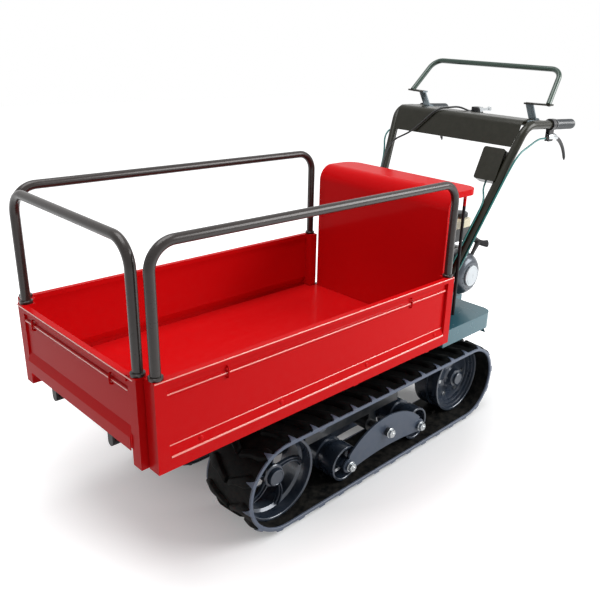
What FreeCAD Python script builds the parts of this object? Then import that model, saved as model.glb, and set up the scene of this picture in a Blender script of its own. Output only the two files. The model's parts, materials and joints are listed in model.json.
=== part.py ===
import FreeCAD, Part
import math
import os

import Sketcher

from FreeCAD import Rotation, Vector

# Power wheelbarrow: a tracked carrier with a sheet-steel bed that can be widened,
# three plug-in guard rails, a small engine behind a red cover and a walking handle.
# Frame: +X forward, +Y to the machine's left, +Z up, millimetres.
# The origin is on the ground, under the middle of the overall length and width.

doc = FreeCAD.newDocument("PowerWheelbarrow")

# ---------------------------------------------------------------- driving sizes
SIZES = {
    # whole machine
    "overall_length": 1655, "gap": 0.3, "slide_gap": 0.4, "sheet_steel": 1.6,
    # bed
    "rear_overhang": 665, "bed_width": 600, "bed_bottom": 349, "panel_height": 204,
    "floor_top": 374, "floor_sheet": 2, "lap_step": 0.5, "floor_side_room": 14,
    "floor_rear_lap": 28, "hem_reach": 20,
    "hem_width": 14, "hem_height": 13, "face_setback": 8, "skirt_height": 30,
    "slope_height": 22, "bead_drop": 36, "bead_height": 8, "bead_reach": 3,
    "side_column_depth": 27, "side_column_width": 35, "front_column_width": 30,
    "front_column_depth": 29, "column_room": 3, "column_cap": 3, "front_sheet_lift": 35,
    "front_column_setback": 4, "flange_reach": 58, "flange_drop": 4,
    # slides under the bed
    "side_rod_radius": 8, "side_rod_length": 262, "front_rod_radius": 10,
    "front_rod_length": 560, "front_rod_side": 129, "front_rod_height": 352,
    "side_rod_height": 354, "sleeve_wall": 3, "side_sleeve_length": 200,
    "front_sleeve_length": 270, "tab_thickness": 5,
    # guard rails
    "rail_radius": 10.85, "rail_wall": 2, "rail_top": 821, "rail_bend": 55,
    "rail_plug": 60, "rail_edge": 15, "collar_radius": 15, "collar_height": 8,
    # tracks
    "track_outer": 280, "track_width": 175, "wheelbase": 796, "idler_setback": 366,
    "belt_outer_radius": 122, "belt_thickness": 8, "lug_height": 10, "lug_width": 17,
    "lug_count": 32, "lug_sweep": 44, "horn_height": 7, "horn_width": 10, "horn_length": 22,
    "wheel_inner_side": 135, "wheel_groove": 24, "idler_face": 245, "sprocket_face": 226,
    "rim_thickness": 9, "web_thickness": 8, "hub_radius": 28, "idler_spokes": 5,
    "spoke_width": 20, "sprocket_holes": 6, "sprocket_hole_radius": 8,
    "roller_radius": 52, "roller_spread": 313, "roller_middle_setback": 760.5,
    "roller_face": 250, "roller_wall": 7, "axle_radius": 12.5, "roller_axle_radius": 8,
    "bogie_pivot_height": 115, "pivot_radius": 12, "pivot_clearance": 0.05,
    "bogie_plate_face": 263, "bogie_plate": 6, "bogie_rise": 73, "bogie_end_radius": 21,
    "bogie_arch": 15, "bogie_inner_side": 122, "nut_radius": 12, "nut_height": 9,
    "carrier_radius": 22, "carrier_setback": 520, "carrier_length": 33,
    # chassis
    "rail_side": 34, "rail_box": 30, "rail_bottom": 270, "rail_height": 50,
    "bearer_width": 30, "cross_tube_radius": 17, "cross_tube_height": 178,
    "front_cross_setback": 600, "rear_cross_setback": 840, "beam_inner": 150,
    "beam_width": 50, "beam_bottom": 150, "beam_height": 50, "beam_rear_setback": 880,
    "arm_inner": 117, "arm_width": 12, "first_bearer": 225, "second_bearer": 600,
    "third_bearer": 70, "beam_room": 14,
    # engine base
    "base_front_room": 6, "base_length": 270, "base_half": 280, "base_shelf_half": 124,
    "base_corner": 38, "base_sheet": 2.3, "shelf_room": 8,
    "flap_drop": 47, "flap_sweep": 32, "flap_inner": 135,
    # engine
    "crank_setback": 240, "crank_height": 478, "block_half": 62, "block_right": -56,
    "block_left": 108, "block_bottom_room": 12, "block_top_rise": 60, "foot_reach": 14,
    "barrel_reach": 92, "fin_count": 9, "fin_thickness": 2.6, "fin_half": 46,
    "barrel_radius": 34, "head_thickness": 22, "blower_radius": 84, "blower_depth": 40,
    "recoil_radius": 69, "recoil_depth": 54, "recoil_straight": 30, "disc_radius": 34,
    "disc_thickness": 6, "grip_neck_radius": 6, "grip_neck_length": 48,
    "grip_bar_radius": 10, "grip_bar_length": 64,
    "tank_bottom": 588, "tank_height": 66, "tank_front": 138, "tank_length": 146,
    "tank_left": 160, "tank_right": 120, "tank_round": 18, "cap_radius": 24,
    "cap_height": 15, "cap_side": 132, "cap_setback": 250, "neck_radius": 17,
    "neck_height": 5, "cleaner_front": 30, "cleaner_length": 92, "cleaner_right": 52,
    "cleaner_left": 140, "cleaner_bottom": 488, "cleaner_height": 92, "cleaner_round": 12,
    "carb_size": 34, "muffler_room": 5, "muffler_depth": 70, "muffler_length": 90,
    "muffler_height": 78, "muffler_front": 22, "muffler_bottom": 462, "muffler_round": 16,
    "plug_radius": 10, "plug_length": 26,
    # belt drive
    "pulley_side": 84, "pulley_width": 22, "engine_pulley_radius": 36,
    "gearbox_pulley_radius": 62, "input_reach": 50, "input_height": 236,
    "vbelt_width": 14, "vbelt_thickness": 9, "shaft_radius": 11, "guard_wall": 2,
    "guard_room": 12, "slot_room": 8,
    # transmission
    "case_length": 140, "case_bottom": 80, "case_top": 300,
    "case_round": 20, "housing_radius": 30, "housing_reach": 124, "drive_shaft_radius": 15,
    # engine cover
    "cover_half": 258, "cover_top": 785, "cover_depth": 150, "cover_bend": 50,
    "cover_corner": 46, "cover_flange": 20, "cover_lip": 18, "cover_sheet": 1.6,
    "cover_advance": 1, "stay_side": 214, "stay_radius": 5,
    # handle
    "handle_radius": 13.6, "handle_wall": 2.3, "handle_foot_setback": 99,
    "handle_foot_side": 162, "handle_bend_setback": 376, "handle_bend_side": 255,
    "handle_bend_height": 950, "handle_bend_radius": 58, "handle_end_side": 260,
    "handle_end_height": 941, "grip_radius": 16.5, "grip_length": 124,
    "cross_bar_radius": 12, "cross_bar_setback": 492,
    "console_sheet": 2, "console_bottom": 884, "console_top": 962, "console_back": 434,
    "console_round": 20, "console_half": 243, "box_width": 78, "box_height": 106,
    "box_depth": 34, "box_room": 13, "box_side": 224, "box_round": 8,
    # loop handle
    "loop_radius": 8.5, "loop_top_height": 1121, "loop_top_setback": 560,
    "loop_top_side": 250, "loop_foot_side": 270, "loop_foot_height": 1010,
    "loop_foot_setback": 466, "loop_bend": 42, "strap_side": 213, "strap_width": 26,
    "strap_thickness": 5, "strap_knee": 1009, "strap_knee_setback": 450,
    # levers
    "lever_setback": 525, "lever_drop": 52, "clamp_width": 20, "clamp_wall": 5, "lever_reach": 132,
    "lever_bend": 130, "lever_fall": 88,
    "blade_thickness": 5, "lever_pin_radius": 4, "throttle_width": 26,
    "throttle_side": 0, "throttle_lever_length": 52, "throttle_rise": 23,
    # cables
    "cable_radius": 3,
}

sheet = doc.addObject("Spreadsheet::Sheet", "Sizes")
for row, (alias, number) in enumerate(SIZES.items(), start=1):
    sheet.set(f"A{row}", alias)
    sheet.set(f"B{row}", str(number))
    sheet.setAlias(f"B{row}", alias)
doc.recompute()


class Length:
    """A length that holds its number and the spreadsheet expression it comes from."""

    def __init__(self, number, text):
        self.number = number
        self.text = text

    def combine(self, other, sign, number):
        other = as_length(other)
        return Length(number(self.number, other.number), f"({self.text} {sign} {other.text})")

    def __add__(self, other):
        return self.combine(other, "+", lambda a, b: a + b)

    def __sub__(self, other):
        return self.combine(other, "-", lambda a, b: a - b)

    def __mul__(self, other):
        return self.combine(other, "*", lambda a, b: a * b)

    def __truediv__(self, other):
        return self.combine(other, "/", lambda a, b: a / b)

    def __neg__(self):
        return as_length(0) - self

    def __radd__(self, other):
        return as_length(other) + self

    def __rsub__(self, other):
        return as_length(other) - self

    def __rmul__(self, other):
        return as_length(other) * self


def as_length(value):
    return value if isinstance(value, Length) else Length(float(value), str(value))


class Sheet:
    """Gives each cell of the spreadsheet as a Length, by its alias."""

    def __getattr__(self, alias):
        return Length(float(sheet.get(alias)), f"Sizes.{alias}")


S = Sheet()


def bind(item, **bindings):
    """Ties properties of a document object to expressions; __ stands for a dot."""
    for prop, length in bindings.items():
        item.setExpression(prop.replace("__", "."), as_length(length).text)
    return item


# ---------------------------------------------------------------- places shared by several pieces
HALF_LENGTH = S.overall_length / 2
PANEL_FRONT = HALF_LENGTH - S.hem_reach
PANEL_REAR = S.rear_overhang - HALF_LENGTH
HALF_BED = S.bed_width / 2
PANEL_TOP = S.bed_bottom + S.panel_height
IDLER_X = PANEL_FRONT - S.idler_setback
SPROCKET_X = IDLER_X - S.wheelbase
AXLE_HEIGHT = S.belt_outer_radius + S.lug_height
BELT_INNER_RADIUS = S.belt_outer_radius - S.belt_thickness
WHEEL_RADIUS = BELT_INNER_RADIUS - S.gap
TRACK_INNER = S.track_outer - S.track_width
TRACK_MIDDLE = S.track_outer - S.track_width / 2
GROOVE_INNER = TRACK_MIDDLE - S.wheel_groove / 2
GROOVE_OUTER = TRACK_MIDDLE + S.wheel_groove / 2
BOGIE_X = PANEL_FRONT - S.roller_middle_setback
ROLLER_HEIGHT = S.lug_height + S.belt_thickness + S.gap + S.roller_radius
ROLLER_XS = {"front": BOGIE_X + S.roller_spread / 2, "rear": BOGIE_X - S.roller_spread / 2}
RAIL_TOP_FACE = S.rail_bottom + S.rail_height
FLOOR_UNDER = S.floor_top - S.floor_sheet
BEARER_XS = [PANEL_FRONT - S.first_bearer, PANEL_FRONT - S.second_bearer,
             PANEL_REAR + S.third_bearer]
BASE_FRONT = PANEL_REAR - S.base_front_room
BASE_REAR = BASE_FRONT - S.base_length
CRANK_X = PANEL_REAR - S.crank_setback
BLOCK_BOTTOM = FLOOR_UNDER
BLOCK_TOP = S.crank_height + S.block_top_rise
COVER_X = PANEL_REAR + S.cover_advance
COVER_LOW = S.floor_top - S.lap_step
INPUT_X = SPROCKET_X + S.input_reach
PULLEY_MIDDLE = -S.pulley_side
PULLEY_INNER = PULLEY_MIDDLE + S.pulley_width / 2
PULLEY_OUTER = PULLEY_MIDDLE - S.pulley_width / 2
CASE_HALF = S.rail_side - S.gap
SHELF_REAR = CRANK_X - S.block_half - S.foot_reach - S.shelf_room
FLANGE_INNER = HALF_BED - S.face_setback - S.sheet_steel - S.flange_reach
BEARER_HALF = FLANGE_INNER - S.gap * 5
BASE_TOP = FLOOR_UNDER
BASE_LOW = RAIL_TOP_FACE
LEFT = 1
RIGHT = -1

PARTS = {}


def keep(name, item):
    """Makes a document object a sub-part: its label names its file."""
    item.Label = name
    PARTS[name] = item
    return item


# ---------------------------------------------------------------- small builders
TURNS = {"x": Rotation(Vector(0, 1, 0), 90), "y": Rotation(Vector(1, 0, 0), -90),
         "z": Rotation()}


def brick(x, y, z, name="Brick"):
    """A Part box between two bound corners: x, y and z are (low, high) pairs."""
    box = doc.addObject("Part::Box", name)
    bind(box, Length=x[1] - x[0], Width=y[1] - y[0], Height=z[1] - z[0])
    bind(box, Placement__Base__x=x[0], Placement__Base__y=y[0], Placement__Base__z=z[0])
    return box


def rod(axis, start, radius, length, name="Rod"):
    """A Part cylinder from a bound start point along x, y or z."""
    cylinder = doc.addObject("Part::Cylinder", name)
    cylinder.Placement = FreeCAD.Placement(Vector(), TURNS[axis])
    bind(cylinder, Radius=radius, Height=length)
    bind(cylinder, Placement__Base__x=start[0], Placement__Base__y=start[1],
         Placement__Base__z=start[2])
    return cylinder


def join(*pieces, name="Join"):
    fuse = doc.addObject("Part::MultiFuse", name)
    fuse.Shapes = list(pieces)
    return fuse


def cut(base, *tools, name="Cut"):
    result = doc.addObject("Part::Cut", name)
    result.Base = base
    result.Tool = tools[0] if len(tools) == 1 else join(*tools)
    return result


def meet(*pieces, name="Meet"):
    common = doc.addObject("Part::MultiCommon", name)
    common.Shapes = list(pieces)
    return common


def ring(axis, start, outer, inner, length, name="Ring"):
    """A tube: a rod with a bore right through it."""
    return cut(rod(axis, start, outer, length), rod(axis, start, inner, length), name=name)


def group(*pieces, name="Group"):
    """Several separate solids kept as one sub-part."""
    compound = doc.addObject("Part::Compound", name)
    compound.Links = list(pieces)
    return compound


def mirror(item, name="Mirrored"):
    """The same piece on the machine's right side."""
    other = doc.addObject("Part::Mirroring", name)
    other.Source = item
    other.Base = Vector(0, 0, 0)
    other.Normal = Vector(0, 1, 0)
    return other


def keep_pair(name, left_piece):
    """Keeps a left piece and its mirror image on the right."""
    keep(f"left_{name}", left_piece)
    keep(f"right_{name}", mirror(left_piece))


def keep_both(name, left_piece):
    """Keeps a left piece and its mirror image together, as one sub-part of two solids."""
    keep(name, group(left_piece, mirror(left_piece)))


PLANES = {"xy": "XY_Plane", "xz": "XZ_Plane", "yz": "YZ_Plane"}


def add_outline(body, plane, corners, offset):
    """A closed sketch on one of the body's origin planes; every corner is bound."""
    sketch = body.newObject("Sketcher::SketchObject", "Outline")
    origin_plane = [f for f in body.Origin.OriginFeatures if f.Role == PLANES[plane]][0]
    sketch.AttachmentSupport = [(origin_plane, "")]
    sketch.MapMode = "FlatFace"
    bind(sketch, AttachmentOffset__Base__z=offset)
    points = [Vector(as_length(a).number, as_length(b).number, 0) for a, b in corners]
    count = len(points)
    for index in range(count):
        sketch.addGeometry(Part.LineSegment(points[index], points[(index + 1) % count]))
    for index in range(count):
        sketch.addConstraint(
            Sketcher.Constraint("Coincident", index, 2, (index + 1) % count, 1))
    for index, corner in enumerate(corners):
        for kind, length in zip(("DistanceX", "DistanceY"), corner):
            length = as_length(length)
            number = sketch.addConstraint(
                Sketcher.Constraint(kind, -1, 1, index, 1, length.number))
            sketch.setExpression(f"Constraints[{number}]", length.text)
    return sketch


def outline_offset(plane, low, high):
    """Where the sketch stands so that its pad fills low to high; XZ faces -Y."""
    return -high if plane == "xz" else low


def pad_body(plane, corners, low, high, name="Body"):
    """A PartDesign body: an outline on a plane, padded from low to high."""
    body = doc.addObject("PartDesign::Body", name)
    sketch = add_outline(body, plane, corners, outline_offset(plane, low, high))
    pad = body.newObject("PartDesign::Pad", "Pad")
    pad.Profile = sketch
    bind(pad, Length=high - low)
    body.Tip = pad
    doc.recompute()
    return body


def pocket(body, plane, corners, low, high):
    """Cuts an outline out of the body, from low to high."""
    before = body.Shape.Volume
    sketch = add_outline(body, plane, corners, outline_offset(plane, low, high))
    feature = body.newObject("PartDesign::Pocket", "Pocket")
    feature.Profile = sketch
    feature.Reversed = True
    bind(feature, Length=high - low)
    body.Tip = feature
    doc.recompute()
    if not body.Shape.Volume < before - 1e-6:
        raise RuntimeError(f"pocket in {body.Name} removed nothing")
    return body


def rectangle(a, b):
    """The four corners of a rectangle from two (low, high) pairs."""
    return [(a[0], b[0]), (a[1], b[0]), (a[1], b[1]), (a[0], b[1])]


def edges_along(body, axis, **places):
    """Names of straight edges along an axis whose middle is at the given places."""
    names = []
    for index, edge in enumerate(body.Shape.Edges, start=1):
        if not isinstance(edge.Curve, Part.Line):
            continue
        way = edge.tangentAt(edge.FirstParameter)
        if abs(abs(getattr(way, axis)) - 1) > 1e-6:
            continue
        middle = edge.CenterOfMass
        if all(abs(getattr(middle, key) - as_length(place).number) < 0.01
               for key, place in places.items()):
            names.append(f"Edge{index}")
    return names


def round_edges(body, radius, names):
    """A PartDesign fillet on the named edges of the body."""
    base = body.Tip
    fillet = body.newObject("PartDesign::Fillet", "Fillet")
    fillet.Base = (base, names)
    bind(fillet, Radius=radius)
    body.Tip = fillet
    doc.recompute()
    return body


def hollow(body, wall, face_axis, place):
    """Turns the body into a sheet shell, open at the flat face at the given place."""
    before = body.Shape.Volume
    names = []
    for index, face in enumerate(body.Shape.Faces, start=1):
        middle = face.CenterOfMass
        flat = isinstance(face.Surface, Part.Plane)
        if flat and abs(abs(getattr(face.normalAt(0, 0), face_axis)) - 1) < 1e-6 \
                and abs(getattr(middle, face_axis) - as_length(place).number) < 0.01:
            names.append(f"Face{index}")
    base = body.Tip
    shell = body.newObject("PartDesign::Thickness", "Thickness")
    shell.Base = (base, names)
    bind(shell, Value=wall)
    shell.Reversed = True
    shell.Join = 1
    body.Tip = shell
    doc.recompute()
    if not body.Shape.Volume < before:
        raise RuntimeError(f"{body.Name} was not hollowed")
    return body


def feature(shape, name="Feature"):
    """A Part::Feature for a piece that neither a body nor primitives suit."""
    item = doc.addObject("Part::Feature", name)
    item.Shape = shape
    return item


def point(x, y, z):
    """A vector from three bound or plain lengths."""
    return Vector(as_length(x).number, as_length(y).number, as_length(z).number)


def rounded_path(points, radii):
    """Straight runs joined by tangent arcs, as one wire."""
    edges = []
    start = points[0]
    for index in range(1, len(points) - 1):
        corner = points[index]
        back = (points[index - 1] - corner).normalize()
        ahead = (points[index + 1] - corner).normalize()
        half = back.getAngle(ahead) / 2
        reach = radii[index - 1] / math.tan(half)
        first = corner + back * reach
        last = corner + ahead * reach
        bisector = (back + ahead).normalize()
        centre = corner + bisector * (radii[index - 1] / math.sin(half))
        middle = centre - bisector * radii[index - 1]
        edges.append(Part.LineSegment(start, first).toShape())
        edges.append(Part.Arc(first, middle, last).toShape())
        start = last
    edges.append(Part.LineSegment(start, points[-1]).toShape())
    return Part.Wire(edges)


def swept_rod(points, radii, radius):
    """A round bar along a path of straight runs and tangent arcs."""
    path = rounded_path(points, radii)
    way = points[1] - points[0]
    profile = Part.Wire(Part.Circle(points[0], way, radius).toShape())
    solid = path.makePipeShell([profile], True, False)
    return solid


def cable_radii(points):
    """Each arc as large as its two runs allow: 0.45 of the shorter run over tan(half turn)."""
    radii = []
    for index in range(1, len(points) - 1):
        back = points[index - 1] - points[index]
        ahead = points[index + 1] - points[index]
        turn = math.pi - back.getAngle(ahead)
        radii.append(0.45 * min(back.Length, ahead.Length) / math.tan(turn / 2))
    return radii


def cable(name, points):
    """A control cable held along the frame."""
    radius = S.cable_radius.number
    radii = cable_radii(points)
    solid = swept_rod(points, radii, radius)
    length = rounded_path(points, radii).Length
    expected = math.pi * radius ** 2 * length
    print(name, "length", round(length), "tightest", round(min(radii), 1),
          "volume ratio", round(solid.Volume / expected, 4))
    return solid


# ---------------------------------------------------------------- bed
SIDE_POSTS = [PANEL_FRONT - S.side_column_depth / 2, PANEL_REAR + S.side_column_depth / 2]
SIDE_POST_Y = HALF_BED - S.rail_edge
FRONT_HALF = HALF_BED - S.side_column_width - S.column_room
FRONT_COLUMN_X = (HALF_LENGTH - S.front_column_setback - S.front_column_depth,
                  HALF_LENGTH - S.front_column_setback)
FRONT_POST_X = (FRONT_COLUMN_X[0] + FRONT_COLUMN_X[1]) / 2
FRONT_POST_Y = FRONT_HALF - S.front_column_width / 2
SIDE_ROD_XS = [BEARER_XS[1] + S.bearer_width / 2 + S.side_rod_radius + S.slide_gap
               + S.sleeve_wall,
               BEARER_XS[2] + S.bearer_width / 2 + S.side_rod_radius + S.slide_gap
               + S.sleeve_wall]
SIDE_ROD_OUTER = HALF_BED - S.face_setback - S.sheet_steel
FRONT_ROD_BACK = HALF_LENGTH - S.face_setback - S.sheet_steel
SLEEVE_INNER = SIDE_ROD_OUTER - S.side_rod_length + S.side_rod_radius


def bed_floor():
    """The fixed floor sheet, notched at its front corners and lapping the engine base."""
    half = HALF_BED - S.floor_side_room
    front = HALF_LENGTH - S.face_setback - S.sheet_steel - S.tab_thickness - S.gap
    notch_x = PANEL_FRONT - S.side_column_depth - S.column_room
    rear_x = PANEL_REAR + S.side_column_depth + S.column_room
    rear = COVER_X - S.floor_rear_lap
    inner = FRONT_HALF - S.front_column_width - S.column_room
    rear_inner = HALF_BED - S.side_column_width - S.column_room
    corners = [(rear, -rear_inner), (rear_x, -rear_inner), (rear_x, -half), (notch_x, -half),
               (notch_x, -inner), (front, -inner), (front, inner), (notch_x, inner),
               (notch_x, half), (rear_x, half), (rear_x, rear_inner), (rear, rear_inner)]
    body = pad_body("xy", corners, FLOOR_UNDER, S.floor_top)
    pocket(body, "xy", rectangle((rear - 1, COVER_X + S.slide_gap), (-half, half)),
           COVER_LOW, S.floor_top + 1)
    keep("bed_floor", body)


def panel_section(face, drop):
    """Half-open pressing of a bed panel: hem, bead, sloped band and skirt, as (across, up)."""
    wall = S.sheet_steel
    back = face - S.face_setback
    hem_low = PANEL_TOP - S.hem_height
    bead = PANEL_TOP - S.bead_drop
    half_bead = S.bead_height / 2
    low = S.bed_bottom + drop
    skirt_top = low + S.skirt_height
    slope_top = skirt_top + S.slope_height
    inner = back - wall
    return [
        (face, PANEL_TOP), (face - S.hem_width, PANEL_TOP), (face - S.hem_width, hem_low),
        (inner, hem_low), (inner, slope_top), (face - wall, skirt_top), (face - wall, low),
        (face, low), (face, skirt_top), (back, slope_top),
        (back, bead - half_bead - S.bead_reach), (back + S.bead_reach, bead - half_bead),
        (back + S.bead_reach, bead + half_bead), (back, bead + half_bead + S.bead_reach),
        (back, hem_low), (face, hem_low)]


def column(x, y, socket_x, socket_y, name):
    """A hollow end column with a round socket for a guard rail in its cap."""
    wall = S.sheet_steel
    shell = cut(brick(x, y, (S.bed_bottom, PANEL_TOP)),
                brick((x[0] + wall, x[1] - wall), (y[0] + wall, y[1] - wall),
                      (S.bed_bottom - 1, PANEL_TOP - S.column_cap)))
    hole = rod("z", (socket_x, socket_y, PANEL_TOP - S.column_cap - 1),
               S.rail_radius + S.gap, S.column_cap + 2)
    return cut(shell, hole, name=name)


def side_panel():
    """One long panel of the bed, with its columns and the flange that runs under the floor."""
    inner_y = HALF_BED - S.side_column_width
    pressing = pad_body("yz", panel_section(HALF_BED, as_length(0)),
                        PANEL_REAR + S.side_column_depth, PANEL_FRONT - S.side_column_depth)
    columns = [column((low, low + S.side_column_depth), (inner_y, HALF_BED), post, SIDE_POST_Y,
                      "Column")
               for low, post in zip((PANEL_FRONT - S.side_column_depth, PANEL_REAR), SIDE_POSTS)]
    flange_top = FLOOR_UNDER - S.flange_drop
    flange = brick((PANEL_REAR + S.side_column_depth, PANEL_FRONT - S.side_column_depth),
                   (FLANGE_INNER, HALF_BED - S.sheet_steel),
                   (flange_top - S.sheet_steel, flange_top))
    rods = [rod("y", (x, SIDE_ROD_OUTER - S.side_rod_length, S.side_rod_height),
                S.side_rod_radius, S.side_rod_length - S.flange_drop) for x in SIDE_ROD_XS]
    tabs = [brick((x - S.side_rod_radius, x + S.side_rod_radius),
                  (SIDE_ROD_OUTER - S.flange_drop, SIDE_ROD_OUTER + S.face_setback),
                  (S.side_rod_height - S.side_rod_radius, S.side_rod_height
                   + S.side_rod_radius / 2)) for x in SIDE_ROD_XS]
    keep_pair("side_panel", join(pressing, *columns, flange, *rods, *tabs))


def slide_sleeves():
    """The sleeves under the floor in which the panels' rods run."""
    sleeves = [ring("y", (x, SLEEVE_INNER, S.side_rod_height),
                    S.side_rod_radius + S.slide_gap + S.sleeve_wall,
                    S.side_rod_radius + S.slide_gap, S.side_sleeve_length) for x in SIDE_ROD_XS]
    sleeves.append(ring("x", (BEARER_XS[0] - S.bearer_width / 2 - S.front_sleeve_length,
                              S.front_rod_side, S.front_rod_height),
                        S.front_rod_radius + S.slide_gap + S.sleeve_wall,
                        S.front_rod_radius + S.slide_gap, S.front_sleeve_length))
    keep_both("slide_sleeves", group(*sleeves))


def front_panel():
    """The front gate: its columns reach lower than its sheet."""
    pressing = pad_body("xz", panel_section(HALF_LENGTH, S.front_sheet_lift),
                        -(FRONT_HALF - S.front_column_width), FRONT_HALF - S.front_column_width)
    columns = []
    for side in (LEFT, RIGHT):
        low = FRONT_HALF - S.front_column_width if side == LEFT else -FRONT_HALF
        columns.append(column(FRONT_COLUMN_X, (low, low + S.front_column_width), FRONT_POST_X,
                              FRONT_POST_Y * side, "Column"))
    keep("front_panel", join(pressing, *columns))


def front_rods():
    """Two black tubes under the floor carry the front gate on upright tabs."""
    rods = []
    back = FRONT_ROD_BACK
    for side in (LEFT, RIGHT):
        y = S.front_rod_side * side
        bar = rod("x", (back - S.front_rod_length, y, S.front_rod_height),
                  S.front_rod_radius, S.front_rod_length)
        tab = brick((back - S.tab_thickness, back),
                    (y - S.front_rod_radius, y + S.front_rod_radius),
                    (S.front_rod_height, S.bed_bottom + S.front_sheet_lift + S.skirt_height
                     + S.slope_height * 2))
        rods.append(join(bar, tab))
    keep("front_slide_rods", group(*rods))


# ---------------------------------------------------------------- guard rails
def quarter_bend(centre, bend, radius, turn):
    torus = doc.addObject("Part::Torus", "Bend")
    torus.Placement = FreeCAD.Placement(Vector(), turn)
    torus.Angle3 = 90
    bind(torus, Radius1=bend, Radius2=radius)
    bind(torus, Placement__Base__x=centre[0], Placement__Base__y=centre[1],
         Placement__Base__z=centre[2])
    return torus


def hoop(axis, low, high, across, radius):
    """A square-shouldered hoop of round bar standing on two posts along x or y."""
    bend = as_length(S.rail_bend)
    bottom = PANEL_TOP - S.rail_plug
    crown = S.rail_top
    spin = Rotation(Vector(1, 0, 0), 90) if axis == "x" else Rotation(Vector(1, 1, 1), 120)
    back = Rotation(Vector(0, 0, 1), 90)
    pieces = []
    for place, centre, turn in ((high, high - bend, spin), (low, low + bend, spin * back)):
        foot = (place, across, bottom) if axis == "x" else (across, place, bottom)
        hub = (centre, across, crown - bend) if axis == "x" else (across, centre, crown - bend)
        pieces.append(rod("z", foot, radius, crown - bend - bottom))
        pieces.append(quarter_bend(hub, bend, radius, turn))
    start = (low + bend, across, crown) if axis == "x" else (across, low + bend, crown)
    pieces.append(rod(axis, start, radius, high - low - 2 * bend))
    return join(*pieces)


def guard_rail(axis, low, high, across):
    """A hoop of tube with a ring welded round each post, to rest on the panel's top."""
    outer = hoop(axis, low, high, across, S.rail_radius)
    inner = hoop(axis, low, high, across, S.rail_radius - S.rail_wall)
    collars = []
    for place in (low, high):
        start = (place, across, PANEL_TOP) if axis == "x" else (across, place, PANEL_TOP)
        collars.append(rod("z", start, S.collar_radius, S.collar_height))
    return cut(join(outer, *collars), inner)


def guard_rails():
    side = (SIDE_POSTS[1], SIDE_POSTS[0], SIDE_POST_Y)
    keep_pair("guard_rail", guard_rail("x", *side))
    front = (-FRONT_POST_Y, FRONT_POST_Y, FRONT_POST_X)
    keep("front_guard_rail", guard_rail("y", *front))


# ---------------------------------------------------------------- tracks
def stadium(radius, width_low, width_high):
    """A flat-sided loop block round the idler and the sprocket."""
    length = width_high - width_low
    ends = [rod("y", (x, width_low, AXLE_HEIGHT), radius, length) for x in (IDLER_X, SPROCKET_X)]
    middle = brick((SPROCKET_X, IDLER_X), (width_low, width_high),
                   (AXLE_HEIGHT - radius, AXLE_HEIGHT + radius))
    return join(*ends, middle)


def loop_frame(distance):
    """Position and turn on the belt's outer face at a distance from the idler's top."""
    radius = S.belt_outer_radius.number
    straight = S.wheelbase.number
    bend = math.pi * radius
    total = 2 * (straight + bend)
    distance = distance % total
    idler, sprocket, height = IDLER_X.number, SPROCKET_X.number, AXLE_HEIGHT.number
    if distance < straight:
        return Vector(idler - distance, 0, height + radius), 0
    distance -= straight
    if distance < bend:
        turn = distance / radius
        return Vector(sprocket - radius * math.sin(turn), 0, height + radius * math.cos(turn)), turn
    distance -= bend
    if distance < straight:
        return Vector(sprocket + distance, 0, height - radius), math.pi
    turn = (distance - straight) / radius
    return (Vector(idler + radius * math.sin(turn), 0, height - radius * math.cos(turn)),
            math.pi + turn)


def track_belt():
    """Rubber loop with swept lugs outside and a row of guide horns inside."""
    low, high = TRACK_INNER.number, S.track_outer.number
    middle = TRACK_MIDDLE.number
    width, sweep, rise = S.lug_width.number, S.lug_sweep.number, S.lug_height.number
    count = int(S.lug_count.number)
    pitch = 2 * (S.wheelbase.number + math.pi * S.belt_outer_radius.number) / count
    sunk = 1.0
    depth = S.belt_thickness.number * 2
    half = (width + sweep) / 2
    lugs = []
    horns = []
    for index in range(count):
        place, turn = loop_frame(index * pitch)
        placement = FreeCAD.Placement(place, Rotation(Vector(0, 1, 0), -math.degrees(turn)))
        for edge, sign in ((high, LEFT), (low, RIGHT)):
            apex = middle + sign * width / 4
            base = [Vector(-half, edge, -depth), Vector(width - half, edge, -depth),
                    Vector(half, apex, -depth), Vector(half - width, apex, -depth)]
            lug = Part.Face(Part.makePolygon(base + base[:1])).extrude(
                Vector(0, 0, 2 * depth + rise))
            lug.Placement = placement
            lugs.append(lug)
        horn_height = S.horn_height.number
        horn = Part.makeBox(S.horn_length.number, S.horn_width.number, horn_height + sunk,
                            Vector(-S.horn_length.number / 2, middle - S.horn_width.number / 2,
                                   -S.belt_thickness.number - horn_height))
        horn.Placement = placement
        horns.append(horn)
    band = stadium(S.belt_outer_radius, TRACK_INNER, S.track_outer)
    reach = stadium(S.belt_outer_radius + S.lug_height, TRACK_INNER, S.track_outer)
    inside = stadium(BELT_INNER_RADIUS, TRACK_INNER, S.track_outer)
    doc.recompute()
    whole = band.Shape.fuse(lugs).common(reach.Shape).cut(inside.Shape).fuse(horns)
    keep_pair("track_belt", feature(whole.removeSplitter()))


def drum(x, outer_side, radius, wall):
    """Two treads side by side, with a groove between them for the guide horns."""
    treads = []
    for low, high in ((S.wheel_inner_side, GROOVE_INNER), (GROOVE_OUTER, outer_side)):
        treads.append(ring("y", (x, low, AXLE_HEIGHT), radius, radius - wall, high - low))
    return treads


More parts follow.
